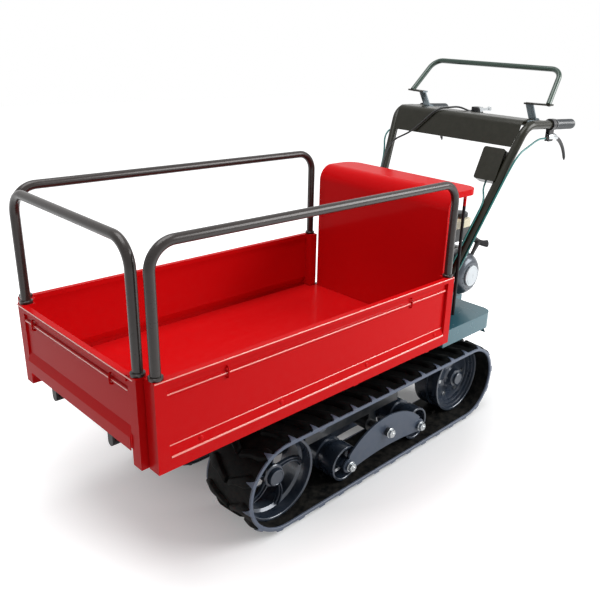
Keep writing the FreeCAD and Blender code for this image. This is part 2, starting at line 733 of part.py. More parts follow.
def idler():
    """Front wheel: two rims, a spoked web, a hub and a domed cap."""
    hub_low = S.wheel_inner_side - 4
    face = S.track_outer - S.hub_radius * 2
    treads = drum(IDLER_X, S.idler_face, WHEEL_RADIUS, S.rim_thickness)
    low = GROOVE_INNER - S.web_thickness
    link = ring("y", (IDLER_X, low, AXLE_HEIGHT), WHEEL_RADIUS - S.rim_thickness + 1,
                WHEEL_RADIUS - S.rim_thickness - S.web_thickness,
                GROOVE_OUTER + S.web_thickness - low)
    hub = rod("y", (IDLER_X, hub_low, AXLE_HEIGHT), S.hub_radius, face - hub_low)
    spokes = []
    reach = WHEEL_RADIUS - S.rim_thickness - S.web_thickness / 2
    for number in range(int(S.idler_spokes.number)):
        spoke = doc.addObject("Part::Box", "Spoke")
        bind(spoke, Length=reach, Width=S.web_thickness, Height=S.spoke_width)
        turn = Rotation(Vector(0, 1, 0), 360 * number / int(S.idler_spokes.number) + 18)
        corner = turn.multVec(Vector(0, 0, -S.spoke_width.number / 2))
        spoke.Placement = FreeCAD.Placement(Vector(), turn)
        bind(spoke, Placement__Base__x=IDLER_X + corner.x, Placement__Base__y=GROOVE_OUTER,
             Placement__Base__z=AXLE_HEIGHT + corner.z)
        spokes.append(spoke)
    bore = rod("y", (IDLER_X, hub_low, AXLE_HEIGHT), S.axle_radius + S.gap,
               face - hub_low - S.web_thickness)
    keep_pair("idler_wheel", cut(join(*treads, link, hub, *spokes), bore))


def sprocket():
    """Rear driven wheel: two rims on a holed disc, fixed on its drive shaft."""
    treads = drum(SPROCKET_X, S.sprocket_face, WHEEL_RADIUS, S.rim_thickness)
    low = GROOVE_INNER - S.web_thickness
    link = ring("y", (SPROCKET_X, low, AXLE_HEIGHT), WHEEL_RADIUS - S.rim_thickness + 1,
                WHEEL_RADIUS - S.rim_thickness - S.web_thickness,
                GROOVE_OUTER + S.web_thickness - low)
    disc = rod("y", (SPROCKET_X, GROOVE_OUTER, AXLE_HEIGHT),
               WHEEL_RADIUS - S.rim_thickness - S.web_thickness / 2, S.web_thickness)
    hub = rod("y", (SPROCKET_X, S.wheel_inner_side, AXLE_HEIGHT), S.hub_radius,
              S.sprocket_face - S.wheel_inner_side - 4)
    holes = []
    orbit = (S.hub_radius + WHEEL_RADIUS - S.rim_thickness - S.web_thickness) / 2
    for number in range(int(S.sprocket_holes.number)):
        angle = 2 * math.pi * number / int(S.sprocket_holes.number)
        holes.append(rod("y", (SPROCKET_X + orbit * math.cos(angle), GROOVE_OUTER - 1,
                               AXLE_HEIGHT + orbit * math.sin(angle)),
                         S.sprocket_hole_radius, S.web_thickness + 2))
    start = CASE_HALF + S.gap
    shaft = rod("y", (SPROCKET_X, start, AXLE_HEIGHT), S.drive_shaft_radius,
                S.sprocket_face - start)
    nut = rod("y", (SPROCKET_X, S.sprocket_face - 4, AXLE_HEIGHT), S.hub_radius * 0.7,
              S.nut_height)
    wheel = cut(join(*treads, link, disc, hub), *holes)
    keep_pair("drive_sprocket", join(wheel, shaft, nut))


def roller(x):
    """A double-flanged track roller, bored for its axle."""
    height = ROLLER_HEIGHT
    treads = [ring("y", (x, low, height), S.roller_radius, S.roller_radius - S.roller_wall,
                   high - low)
              for low, high in ((S.wheel_inner_side, GROOVE_INNER), (GROOVE_OUTER, S.roller_face))]
    core = rod("y", (x, S.wheel_inner_side, height), S.roller_axle_radius * 2,
               S.roller_face - S.wheel_inner_side)
    discs = [rod("y", (x, place, height), S.roller_radius - S.roller_wall / 2, S.roller_wall)
             for place in (GROOVE_INNER - S.roller_wall, GROOVE_OUTER)]
    bore = rod("y", (x, S.wheel_inner_side, height), S.roller_axle_radius + S.gap,
               S.roller_face - S.wheel_inner_side)
    return cut(join(*treads, core, *discs), bore)


def rollers():
    for name, x in ROLLER_XS.items():
        keep_pair(f"{name}_roller", roller(x))


def crescent(low, high):
    """The rocker plate: round ends at the roller axles, a high back and an arched belly."""
    half = S.roller_spread / 2
    body_radius = (half * half + S.bogie_rise * S.bogie_rise) / (2 * S.bogie_rise)
    back_centre = ROLLER_HEIGHT + S.bogie_rise - body_radius
    back = rod("y", (BOGIE_X, low, back_centre), body_radius + S.bogie_end_radius, high - low)
    slab = brick((BOGIE_X - half, BOGIE_X + half), (low, high),
                 (ROLLER_HEIGHT - S.bogie_end_radius,
                  ROLLER_HEIGHT + S.bogie_rise + S.bogie_end_radius))
    arch_radius = (half * half + S.bogie_arch * S.bogie_arch) / (2 * S.bogie_arch)
    belly = rod("y", (BOGIE_X, low, ROLLER_HEIGHT - S.bogie_end_radius + S.bogie_arch
                      - arch_radius), arch_radius, high - low)
    ends = [rod("y", (x, low, ROLLER_HEIGHT), S.bogie_end_radius, high - low)
            for x in ROLLER_XS.values()]
    return join(cut(meet(back, slab), belly), *ends)


def bogie():
    """Rocker of each track: two plates joined by the roller axles, free on the pivot."""
    plates = []
    for low in (S.bogie_inner_side, S.bogie_plate_face - S.bogie_plate):
        plates.append(cut(crescent(low, low + S.bogie_plate),
                          rod("y", (BOGIE_X, low, S.bogie_pivot_height),
                              S.pivot_radius + S.pivot_clearance, S.bogie_plate)))
    axles = []
    for x in ROLLER_XS.values():
        low = S.bogie_inner_side + S.bogie_plate
        high = S.bogie_plate_face - S.bogie_plate
        axles.append(rod("y", (x, low, ROLLER_HEIGHT), S.roller_axle_radius, high - low))
    nuts = [rod("y", (x, S.bogie_plate_face, ROLLER_HEIGHT), S.nut_radius, S.nut_height)
            for x in ROLLER_XS.values()]
    keep_pair("bogie", join(*plates, *axles, *nuts))


CARRIER_X = PANEL_FRONT - S.carrier_setback
CARRIER_HEIGHT = AXLE_HEIGHT + BELT_INNER_RADIUS - S.gap - S.carrier_radius
BEAM_OUTER = S.beam_inner + S.beam_width
BEAM_TOP = S.beam_bottom + S.beam_height
BEAM_FRONT = IDLER_X - WHEEL_RADIUS - S.beam_room


def carrier_roller():
    """The small roller that holds up the belt's top run."""
    low = GROOVE_OUTER + S.gap
    wheel = ring("y", (CARRIER_X, low, CARRIER_HEIGHT), S.carrier_radius,
                 S.roller_axle_radius + S.gap, S.carrier_length)
    keep_pair("carrier_roller", wheel)


def track_frame():
    """Beam inside each belt, with the idler's arm and axle and the rocker's pivot shaft."""
    beam = brick((PANEL_FRONT - S.beam_rear_setback, BEAM_FRONT), (S.beam_inner, BEAM_OUTER),
                 (S.beam_bottom, BEAM_TOP))
    step = brick((BEAM_FRONT - S.beam_height, BEAM_FRONT), (S.arm_inner, S.beam_inner),
                 (S.beam_bottom, BEAM_TOP))
    arm = brick((BEAM_FRONT - S.beam_height, IDLER_X), (S.arm_inner, S.arm_inner + S.arm_width),
                (AXLE_HEIGHT - S.hub_radius, AXLE_HEIGHT + S.hub_radius))
    eye = rod("y", (IDLER_X, S.arm_inner, AXLE_HEIGHT), S.hub_radius, S.arm_width)
    axle = rod("y", (IDLER_X, S.arm_inner, AXLE_HEIGHT), S.axle_radius,
               S.track_outer - S.hub_radius * 2 - S.web_thickness - S.gap - S.arm_inner)
    boss = rod("y", (BOGIE_X, S.bogie_inner_side + S.bogie_plate + 2, S.bogie_pivot_height),
               S.hub_radius - 4, BEAM_OUTER - S.bogie_inner_side - S.bogie_plate - 2)
    bracket = brick((CARRIER_X - S.carrier_radius / 2, CARRIER_X + S.carrier_radius / 2),
                    (BEAM_OUTER - S.web_thickness, BEAM_OUTER),
                    (BEAM_TOP, CARRIER_HEIGHT + S.roller_axle_radius))
    stub = rod("y", (CARRIER_X, BEAM_OUTER - S.web_thickness, CARRIER_HEIGHT),
               S.roller_axle_radius, GROOVE_OUTER + S.gap + S.carrier_length - BEAM_OUTER
               + S.web_thickness)
    hanger = brick((BOGIE_X - S.nut_radius, BOGIE_X + S.nut_radius), (S.beam_inner, BEAM_OUTER),
                   (S.bogie_pivot_height, S.beam_bottom))
    start = S.bogie_inner_side - 4
    shaft = rod("y", (BOGIE_X, start, S.bogie_pivot_height), S.pivot_radius,
                S.bogie_plate_face + S.gap - start)
    nut = rod("y", (BOGIE_X, S.bogie_plate_face + S.gap, S.bogie_pivot_height),
              S.nut_radius + 1, S.nut_height)
    keep_both("track_frames", join(beam, step, arm, eye, axle, boss, bracket, stub, hanger,
                                   shaft, nut))


# ---------------------------------------------------------------- chassis
def chassis():
    """Two box rails with bearers under the bed and cross tubes to the track frames."""
    rails = []
    rear = SHELF_REAR + S.base_sheet + S.gap
    for low in (S.rail_side, -S.rail_side - S.rail_box):
        rails.append(brick((rear, BEARER_XS[0] + S.bearer_width / 2), (low, low + S.rail_box),
                           (S.rail_bottom, RAIL_TOP_FACE)))
    bearers = [brick((x - S.bearer_width / 2, x + S.bearer_width / 2),
                     (-BEARER_HALF, BEARER_HALF), (RAIL_TOP_FACE, FLOOR_UNDER))
               for x in BEARER_XS]
    inside_top = BASE_TOP - S.base_sheet
    pads = [brick((x - S.bearer_width / 2, x + S.bearer_width / 2),
                  (-S.rail_side - S.rail_box, S.rail_side + S.rail_box),
                  (RAIL_TOP_FACE, inside_top))
            for x in (BASE_FRONT - S.bearer_width, rear + S.bearer_width)]
    legs = []
    for setback in (S.front_cross_setback, S.rear_cross_setback):
        x = PANEL_FRONT - setback
        legs.append(rod("y", (x, -S.beam_inner, S.cross_tube_height), S.cross_tube_radius,
                        2 * S.beam_inner))
        for side in (LEFT, RIGHT):
            low = S.rail_side if side == LEFT else -S.rail_side - S.rail_box
            legs.append(brick((x - S.cross_tube_radius, x + S.cross_tube_radius),
                              (low, low + S.rail_box),
                              (S.cross_tube_height, S.rail_bottom)))
    holes = [rod("x", (FRONT_ROD_BACK - S.front_rod_length - S.flange_drop,
                       S.front_rod_side * side, S.front_rod_height),
                 S.front_rod_radius + S.slide_gap, S.front_rod_length)
             for side in (LEFT, RIGHT)]
    keep("chassis_frame", cut(join(*rails, *bearers, *pads, *legs), *holes))


def transmission():
    """Gear case under the engine, with a housing reaching towards each sprocket."""
    x = (SPROCKET_X - S.case_length / 2, SPROCKET_X + S.case_length / 2)
    case = pad_body("xz", rectangle(x, (S.case_bottom, S.case_top)), -CASE_HALF, CASE_HALF)
    corners = []
    for place in x:
        for height in (S.case_bottom, S.case_top):
            corners += edges_along(case, "y", x=place, z=height)
    round_edges(case, S.case_round, corners)
    nose = rod("y", (INPUT_X, PULLEY_INNER + S.slide_gap, S.input_height),
               S.housing_radius, -CASE_HALF + 1 - PULLEY_INNER - S.slide_gap)
    housing = rod("y", (SPROCKET_X, -S.housing_reach, AXLE_HEIGHT), S.housing_radius,
                  2 * S.housing_reach)
    cavity = rod("y", (SPROCKET_X, -S.housing_reach, AXLE_HEIGHT),
                 S.drive_shaft_radius + S.gap, 2 * S.housing_reach)
    input_bore = rod("y", (INPUT_X, PULLEY_MIDDLE, S.input_height), S.shaft_radius + S.gap,
                     S.pulley_side - CASE_HALF + S.shaft_radius + S.gap)
    keep("transmission_case", cut(join(case, housing, nose), cavity, input_bore))


# ---------------------------------------------------------------- engine base and covers
def engine_base():
    """The stepped sheet base behind the bed, with a sloped skirt behind each track."""
    half, shelf = S.base_half, S.base_shelf_half
    outline = [(BASE_FRONT, -half), (BASE_FRONT, half), (BASE_REAR, half), (BASE_REAR, shelf),
               (SHELF_REAR, shelf), (SHELF_REAR, -shelf), (BASE_REAR, -shelf),
               (BASE_REAR, -half)]
    body = pad_body("xy", outline, BASE_LOW, BASE_TOP)
    corners = []
    for side in (LEFT, RIGHT):
        corners += edges_along(body, "z", x=BASE_REAR, y=half * side)
    round_edges(body, S.base_corner, corners)
    hollow(body, S.base_sheet, "z", BASE_LOW)
    share = (S.crank_height - BASE_TOP) / (S.crank_height - S.input_height)
    middle = CRANK_X + (INPUT_X - CRANK_X) * share
    reach = (S.engine_pulley_radius + S.gearbox_pulley_radius) / 2 + S.vbelt_thickness \
        + S.slot_room
    pocket(body, "xy", rectangle((middle - reach, middle + reach),
                                 (PULLEY_OUTER - 1, PULLEY_INNER + 1)),
           BASE_TOP - 2 * S.base_sheet, BASE_TOP + 1)
    corners = [(BASE_REAR, BASE_LOW + 1), (BASE_REAR - S.flap_sweep, BASE_LOW - S.flap_drop),
               (BASE_REAR - S.flap_sweep + S.base_sheet, BASE_LOW - S.flap_drop),
               (BASE_REAR + S.base_sheet, BASE_LOW + 1)]
    flap = pad_body("xz", corners, S.flap_inner, S.base_half - S.base_corner)
    keep("engine_base", join(body, flap, mirror(flap)))


def engine_cover():
    """The red cover: a deep-bent sheet, open at the back and along its sides."""
    rear = COVER_X - S.cover_depth
    half = S.cover_half
    body = pad_body("xy", rectangle((rear, COVER_X), (-half, half)), COVER_LOW, S.cover_top)
    round_edges(body, S.cover_bend, edges_along(body, "y", x=COVER_X, z=S.cover_top))
    round_edges(body, S.cover_corner, edges_along(body, "z", x=rear))
    hollow(body, S.cover_sheet, "z", COVER_LOW)
    lip = S.cover_top - S.cover_lip
    pocket(body, "yz", rectangle((-half - 1, half + 1), (COVER_LOW - 1, lip)),
           rear - 1, COVER_X - S.cover_flange)
    keep("engine_cover", body)


def cover_stays():
    """Two slim stays from the cover's rear lip down to the engine base."""
    stays = []
    x = COVER_X - S.cover_depth + S.stay_radius + S.cover_sheet + S.gap
    for side in (LEFT, RIGHT):
        y = S.stay_side * side
        stays.append(rod("z", (x, y, BASE_TOP), S.stay_radius,
                         S.cover_top - S.cover_sheet - BASE_TOP))
    keep("cover_stays", group(*stays))


# ---------------------------------------------------------------- engine
def engine_block():
    """Crankcase on its feet, with the shaft's outer boss and the fuel tank's brackets."""
    x = (CRANK_X - S.block_half, CRANK_X + S.block_half)
    body = pad_body("xz", rectangle(x, (BLOCK_BOTTOM + S.block_bottom_room, BLOCK_TOP)),
                    S.block_right, S.block_left)
    corners = []
    for place in x:
        corners += edges_along(body, "y", x=place, z=BLOCK_TOP)
    round_edges(body, S.block_bottom_room, corners)
    feet = brick((x[0] - S.foot_reach, x[1] + S.foot_reach), (S.block_right, S.block_left),
                 (BLOCK_BOTTOM, BLOCK_BOTTOM + S.block_bottom_room))
    boss = rod("y", (CRANK_X, PULLEY_INNER + S.slide_gap, S.crank_height), S.housing_radius,
               S.block_right - PULLEY_INNER - S.slide_gap + 1)
    bore = rod("y", (CRANK_X, PULLEY_MIDDLE, S.crank_height), S.shaft_radius + S.gap,
               S.pulley_side)
    legs = [brick((CRANK_X - S.foot_reach, CRANK_X + S.foot_reach), (low, low + 4),
                  (BLOCK_TOP - 1, S.tank_bottom))
            for low in (S.block_right + S.foot_reach, S.block_left - S.foot_reach - 4)]
    keep("engine_block", cut(join(body, feet, boss, *legs), bore))


BARREL_X = CRANK_X + S.block_half
HEAD_X = BARREL_X + S.barrel_reach


def cylinder():
    """Finned barrel lying forward from the crankcase, with its head and the plug cap."""
    core = rod("x", (BARREL_X, 0, S.crank_height), S.barrel_radius, S.barrel_reach)
    fins = []
    count = int(S.fin_count.number)
    step = (S.barrel_reach - S.fin_thickness) / count
    for number in range(count):
        low = BARREL_X + step * number + step / 2
        fins.append(brick((low, low + S.fin_thickness), (-S.fin_half, S.fin_half),
                          (S.crank_height - S.fin_half, S.crank_height + S.fin_half)))
    block = brick((HEAD_X, HEAD_X + S.head_thickness), (-S.fin_half, S.fin_half),
                  (S.crank_height - S.fin_half, S.crank_height + S.fin_half))
    keep("cylinder", join(core, *fins, block))
    keep("spark_plug_cap", rod("x", (HEAD_X + S.head_thickness, 0, S.crank_height),
                               S.plug_radius, S.plug_length))


def blower_housing():
    """Sheet shroud round the flywheel fan, with a duct towards the barrel's fins."""
    low, high = S.block_left, S.block_left + S.blower_depth
    drum_part = rod("y", (CRANK_X, low, S.crank_height), S.blower_radius, S.blower_depth)
    duct = brick((CRANK_X, BARREL_X + S.barrel_reach / 2), (low, high),
                 (S.crank_height - S.fin_half, S.crank_height + S.fin_half))
    mouth_radius = S.recoil_radius - S.guard_room
    inside = rod("y", (CRANK_X, low + S.guard_wall, S.crank_height), mouth_radius,
                 S.blower_depth)
    keep("blower_housing", cut(join(drum_part, duct), inside))


RECOIL_Y = S.block_left + S.blower_depth


def recoil_starter():
    """Domed recoil housing with a pale disc on its face."""
    body = doc.addObject("PartDesign::Body", "Recoil")
    base, depth, radius = RECOIL_Y, S.recoil_depth, S.recoil_radius
    wall = S.guard_wall
    shoulder = base + S.recoil_straight
    corners = [(0, base), (radius, base), (radius, shoulder),
               (radius - depth / 3, base + depth), (0, base + depth), (0, base + depth - wall),
               (radius - depth / 3 - wall, base + depth - wall),
               (radius - wall, shoulder), (radius - wall, base + wall), (0, base + wall)]
    sketch = add_outline(body, "xy", corners, as_length(0))
    turn = body.newObject("PartDesign::Revolution", "Turned")
    turn.Profile = sketch
    turn.ReferenceAxis = (sketch, ["V_Axis"])
    turn.Angle = 360
    body.Tip = turn
    bind(body, Placement__Base__x=CRANK_X, Placement__Base__z=S.crank_height)
    doc.recompute()
    keep("recoil_housing", body)
    face = base + depth
    keep("recoil_disc", rod("y", (CRANK_X, face, S.crank_height), S.disc_radius,
                            S.disc_thickness))


def starter_grip():
    """The pull handle of the recoil starter, parked at the housing's upper rear."""
    direction = Vector(-0.62, 0, 0.785).normalize()
    across = RECOIL_Y + S.recoil_straight - S.grip_neck_radius - 2
    start = point(CRANK_X, across, S.crank_height) \
        + direction * (S.recoil_radius + S.gap).number
    neck = Part.makeCylinder(S.grip_neck_radius.number, S.grip_neck_length.number, start,
                             direction)
    way = Vector(-0.5, 0.76, -0.395).normalize()
    middle = start + direction * (S.grip_neck_length + S.grip_bar_radius / 2).number
    length = S.grip_bar_length.number
    bar = Part.makeCylinder(S.grip_bar_radius.number, length, middle - way * (length / 2), way)
    ends = [edge for edge in bar.Edges if isinstance(edge.Curve, Part.Circle)]
    bar = bar.makeFillet(S.grip_bar_radius.number / 2, ends)
    keep("starter_grip", feature(neck.fuse(bar)))


def fuel_tank():
    """Tank above the engine, on two brackets, with a filler neck and a screw cap."""
    x = (PANEL_REAR - S.tank_front - S.tank_length, PANEL_REAR - S.tank_front)
    y = (-S.tank_right, S.tank_left)
    z = (S.tank_bottom, S.tank_bottom + S.tank_height)
    body = pad_body("xy", rectangle(x, y), z[0], z[1])
    uprights = []
    for a in x:
        for b in y:
            uprights += edges_along(body, "z", x=a, y=b)
    round_edges(body, S.tank_round, uprights)
    cap_x = PANEL_REAR - S.cap_setback
    neck = rod("z", (cap_x, S.cap_side, z[1] - 1), S.neck_radius, S.neck_height + 1)
    keep("fuel_tank", join(body, neck))
    keep("fuel_cap", rod("z", (cap_x, S.cap_side, z[1] + S.neck_height), S.cap_radius,
                         S.cap_height))


def air_cleaner():
    """Boxy air cleaner beside the barrel, and the carburettor that carries it."""
    x = (PANEL_REAR - S.cleaner_front - S.cleaner_length, PANEL_REAR - S.cleaner_front)
    z = (S.cleaner_bottom, S.cleaner_bottom + S.cleaner_height)
    body = pad_body("xz", rectangle(x, z), S.cleaner_right, S.cleaner_left)
    corners = []
    for a in x:
        for b in z:
            corners += edges_along(body, "y", x=a, z=b)
    round_edges(body, S.cleaner_round, corners)
    keep("air_cleaner", body)
    middle = (x[0] + x[1]) / 2
    half = S.carb_size / 2
    keep("carburettor", brick((middle - half, middle + half), (S.fin_half, S.cleaner_right),
                              (S.cleaner_bottom + half / 2, S.cleaner_bottom + half / 2
                               + S.carb_size)))


def muffler():
    """Pressed-steel muffler right of the belt guard, on the barrel's exhaust port."""
    x = (PANEL_REAR - S.muffler_front - S.muffler_length, PANEL_REAR - S.muffler_front)
    inner = PULLEY_OUTER - S.guard_room / 2 - S.guard_wall - S.muffler_room
    y = (inner - S.muffler_depth, inner)
    z = (S.muffler_bottom, S.muffler_bottom + S.muffler_height)
    body = pad_body("xz", rectangle(x, z), y[0], y[1])
    corners = []
    for a in x:
        for b in z:
            corners += edges_along(body, "y", x=a, z=b)
    round_edges(body, S.muffler_round, corners)
    port = rod("y", ((x[0] + x[1]) / 2, y[1] - 1, S.crank_height), S.plug_radius * 1.5,
               -S.fin_half - y[1] + 1)
    keep("muffler", join(body, port))


# ---------------------------------------------------------------- belt drive
def pulley(name, x, height, radius, shaft_from, shaft_to):
    """A grooved pulley on its own shaft."""
    low = PULLEY_MIDDLE - S.pulley_width / 2
    groove_low = PULLEY_MIDDLE - S.vbelt_width / 2
    flange = (S.pulley_width - S.vbelt_width) / 2
    cheeks = [rod("y", (x, place, height), radius + S.vbelt_thickness / 2, flange)
              for place in (low, groove_low + S.vbelt_width)]
    core = rod("y", (x, groove_low, height), radius, S.vbelt_width)
    shaft = rod("y", (x, shaft_from, height), S.shaft_radius, shaft_to - shaft_from)
    keep(name, join(*cheeks, core, shaft))


def belt_loop(radius_small, radius_big, low, high):
    """The shape of a belt round both pulleys, out to the given radii."""
    small = Vector(CRANK_X.number, low, S.crank_height.number)
    big = Vector(INPUT_X.number, low, S.input_height.number)
    way = big - small
    distance = way.Length
    tilt = math.acos((radius_small - radius_big) / distance)
    base = math.atan2(way.z, way.x)
    corners = []
    for centre, radius in ((small, radius_small), (big, radius_big)):
        for side in (1, -1):
            angle = base + side * tilt
            corners.append(centre + Vector(math.cos(angle), 0, math.sin(angle)) * radius)
    order = [corners[0], corners[1], corners[3], corners[2], corners[0]]
    span = Part.Face(Part.makePolygon(order)).extrude(Vector(0, high - low, 0))
    discs = [Part.makeCylinder(radius, high - low, centre, Vector(0, 1, 0))
             for centre, radius in ((small, radius_small), (big, radius_big))]
    return span.fuse(discs)


def belt_drive():
    """Engine pulley, gearbox pulley, the belt between them and its guard."""
    room = S.gap.number
    low = (PULLEY_MIDDLE - S.vbelt_width / 2).number + room
    high = (PULLEY_MIDDLE + S.vbelt_width / 2).number - room
    pulley("engine_pulley", CRANK_X, S.crank_height, S.engine_pulley_radius,
           PULLEY_OUTER, S.block_right + S.housing_radius)
    pulley("gearbox_pulley", INPUT_X, S.input_height, S.gearbox_pulley_radius,
           PULLEY_OUTER, -CASE_HALF + S.shaft_radius)
    small, big = S.engine_pulley_radius.number, S.gearbox_pulley_radius.number
    thick = S.vbelt_thickness.number
    outer = belt_loop(small + thick, big + thick, low, high)
    inner = belt_loop(small + room, big + room, low - 1, high + 1)
    keep("drive_belt", feature(outer.cut(inner)))
    wall, room = S.guard_wall.number, S.guard_room.number
    out_low = PULLEY_MIDDLE.number - S.pulley_width.number / 2 - room / 2 - wall
    out_high = PULLEY_MIDDLE.number + S.pulley_width.number / 2 - wall
    shell = belt_loop(small + thick + room + wall, big + thick + room + wall, out_low, out_high)
    hollow_part = belt_loop(small + thick + room, big + thick + room, out_low + wall,
                            out_high + 1)
    floor_cut = Part.makeBox(1000, 500, 1000, Vector(-900, -400, BASE_TOP.number - 1000))
    keep("belt_guard", feature(shell.cut(hollow_part).cut(floor_cut)))


# ---------------------------------------------------------------- handle
FOOT = (PANEL_REAR - S.handle_foot_setback, S.handle_foot_side, BASE_TOP)
ELBOW = (PANEL_REAR - S.handle_bend_setback, S.handle_bend_side, S.handle_bend_height)
HANDLE_END = (-HALF_LENGTH, S.handle_end_side, S.handle_end_height)


def handle_axis(height, side=LEFT):
    """A point on the inclined part of a handle tube, at a height."""
    foot, elbow = point(*FOOT), point(*ELBOW)
    share = (height - foot.z) / (elbow.z - foot.z)
    place = foot + (elbow - foot) * share
    return Vector(place.x, place.y * side, place.z)


def handle_sweep(side, radius):
    """A round bar along a handle tube's whole axis."""
    points = [point(*FOOT), point(*ELBOW), point(*HANDLE_END)]
    left = swept_rod(points, [S.handle_bend_radius.number], radius)
    return left if side == LEFT else left.mirror(Vector(), Vector(0, 1, 0))


def handle_tubes():
    """Each side: a tube that rises from the base and turns back into the grip."""
    points = [point(*FOOT), point(*ELBOW), point(*HANDLE_END)]
    end = points[2] - (points[2] - points[1]).normalize() * 3
    points = [points[0], points[1], end]
    radii = [S.handle_bend_radius.number]
    outer = swept_rod(points, radii, S.handle_radius.number)
    inner = swept_rod(points, radii, (S.handle_radius - S.handle_wall).number)
    base = BASE_TOP.number
    foot = Part.makeBox(60, 46, 6, Vector(points[0].x - 30, points[0].y - 23, base))
    below = Part.makeBox(400, 400, 100, Vector(points[0].x - 200, points[0].y - 200, base - 100))
    tube = outer.fuse(foot).cut(inner).cut(below)
    keep_both("handle_tubes", feature(tube))
    way = (point(*HANDLE_END) - point(*ELBOW)).normalize()
    start = point(*HANDLE_END) - way * S.grip_length.number
    sleeve = Part.makeCylinder(S.grip_radius.number, S.grip_length.number, start, way)
    far_edge = [edge for edge in sleeve.Edges if isinstance(edge.Curve, Part.Circle)
                and edge.Curve.Center.distanceToPoint(point(*HANDLE_END)) < 1]
    sleeve = sleeve.makeFillet(S.grip_radius.number * 0.6, far_edge)
    bore = Part.makeCylinder(S.handle_radius.number, S.grip_length.number - 3, start, way)
    beyond = Part.makeBox(50, 600, 200, Vector(-HALF_LENGTH.number - 50, 0, 850))
    keep_both("grips", feature(sleeve.cut([bore, beyond])))


def cross_bar():
    """The bar between the two handle tubes, behind the console."""
    x = PANEL_REAR - S.cross_bar_setback
    share = (S.cross_bar_setback - S.handle_bend_setback).number \
        / (S.rear_overhang - S.handle_bend_setback).number
    side = S.handle_bend_side.number + share * (S.handle_end_side
                                                - S.handle_bend_side).number
    height = S.handle_bend_height.number + share * (S.handle_end_height
                                                    - S.handle_bend_height).number
    reach = side - math.sqrt(S.handle_radius.number ** 2 - (S.cross_bar_radius.number / 2) ** 2)
    bar = Part.makeCylinder(S.cross_bar_radius.number, 2 * reach,
                            Vector(x.number, -reach, height), Vector(0, 1, 0))
    tubes = [handle_sweep(sign, S.handle_radius.number) for sign in (LEFT, RIGHT)]
    keep("cross_bar", feature(bar.cut(tubes)))
    return height


def console():
    """Folded sheet between the handle tubes: a sloped face that turns back at the top."""
    low = handle_axis(S.console_bottom.number)
    high = handle_axis(S.console_top.number - 12)
    thick = S.console_sheet.number
    lead = 7
    back = (PANEL_REAR - S.console_back).number
    top = S.console_top.number
    face = [Vector(low.x + lead, 0, low.z), Vector(high.x + lead, 0, top), Vector(back, 0, top)]
    path = rounded_path(face, [S.console_round.number])
    section = path.makeOffset2D(-thick, 0, True, True)
    half = S.console_half.number
    section.translate(Vector(0, -half, 0))
    sheet_shape = section.extrude(Vector(0, 2 * half, 0))
    tubes = [handle_sweep(side, (S.handle_radius + S.gap).number) for side in (LEFT, RIGHT)]
    keep("console_panel", feature(max(sheet_shape.cut(tubes).Solids, key=lambda s: s.Volume)))


def control_box():
    """The plate-covered box under the console, beside the left handle tube."""
    top = handle_axis((S.console_bottom - S.box_room).number)
    way = (point(*ELBOW) - point(*FOOT)).normalize()
    up = Vector(way.x, 0, way.z).normalize()
    ahead = Vector(up.z, 0, -up.x)
    depth, width, tall = S.box_depth.number, S.box_width.number, S.box_height.number
    right = S.box_side.number - width
    corner = Vector(top.x, right, top.z) - ahead * (depth / 2)
    solid = Part.makeBox(depth, width, tall)
    solid = solid.makeFillet(S.box_round.number, [e for e in solid.Edges
                                                  if abs(e.tangentAt(0).x) > 0.9])
    matrix = FreeCAD.Matrix(ahead.x, 0, -up.x, corner.x, 0, 1, 0, corner.y,
                            ahead.z, 0, -up.z, corner.z, 0, 0, 0, 1)
    solid = solid.transformGeometry(matrix)
    tube = Part.makeCylinder((S.handle_radius + S.gap).number, 900, point(*FOOT), way)
    keep("control_box", feature(max(solid.cut(tube).Solids, key=lambda s: s.Volume)))
    return Vector(top.x, right + width / 2, top.z) - up * tall, up


# ---------------------------------------------------------------- loop handle
def flat_strap(points, width, thickness, across):
    """A flat steel strap folded through a list of points, its width along a direction."""
    solids = []
    for start, end in zip(points, points[1:]):
        way = (end - start).normalize()
        side = Vector(across).normalize() * (width / 2)
        normal = way.cross(Vector(across)).normalize() * (thickness / 2)
        far = end + way * (thickness / 2)
        corners = [start - side - normal, start + side - normal,
                   start + side + normal, start - side + normal]
        face = Part.Face(Part.makePolygon(corners + corners[:1]))
        solids.append(face.extrude(far - start))
    return solids[0].fuse(solids[1:])


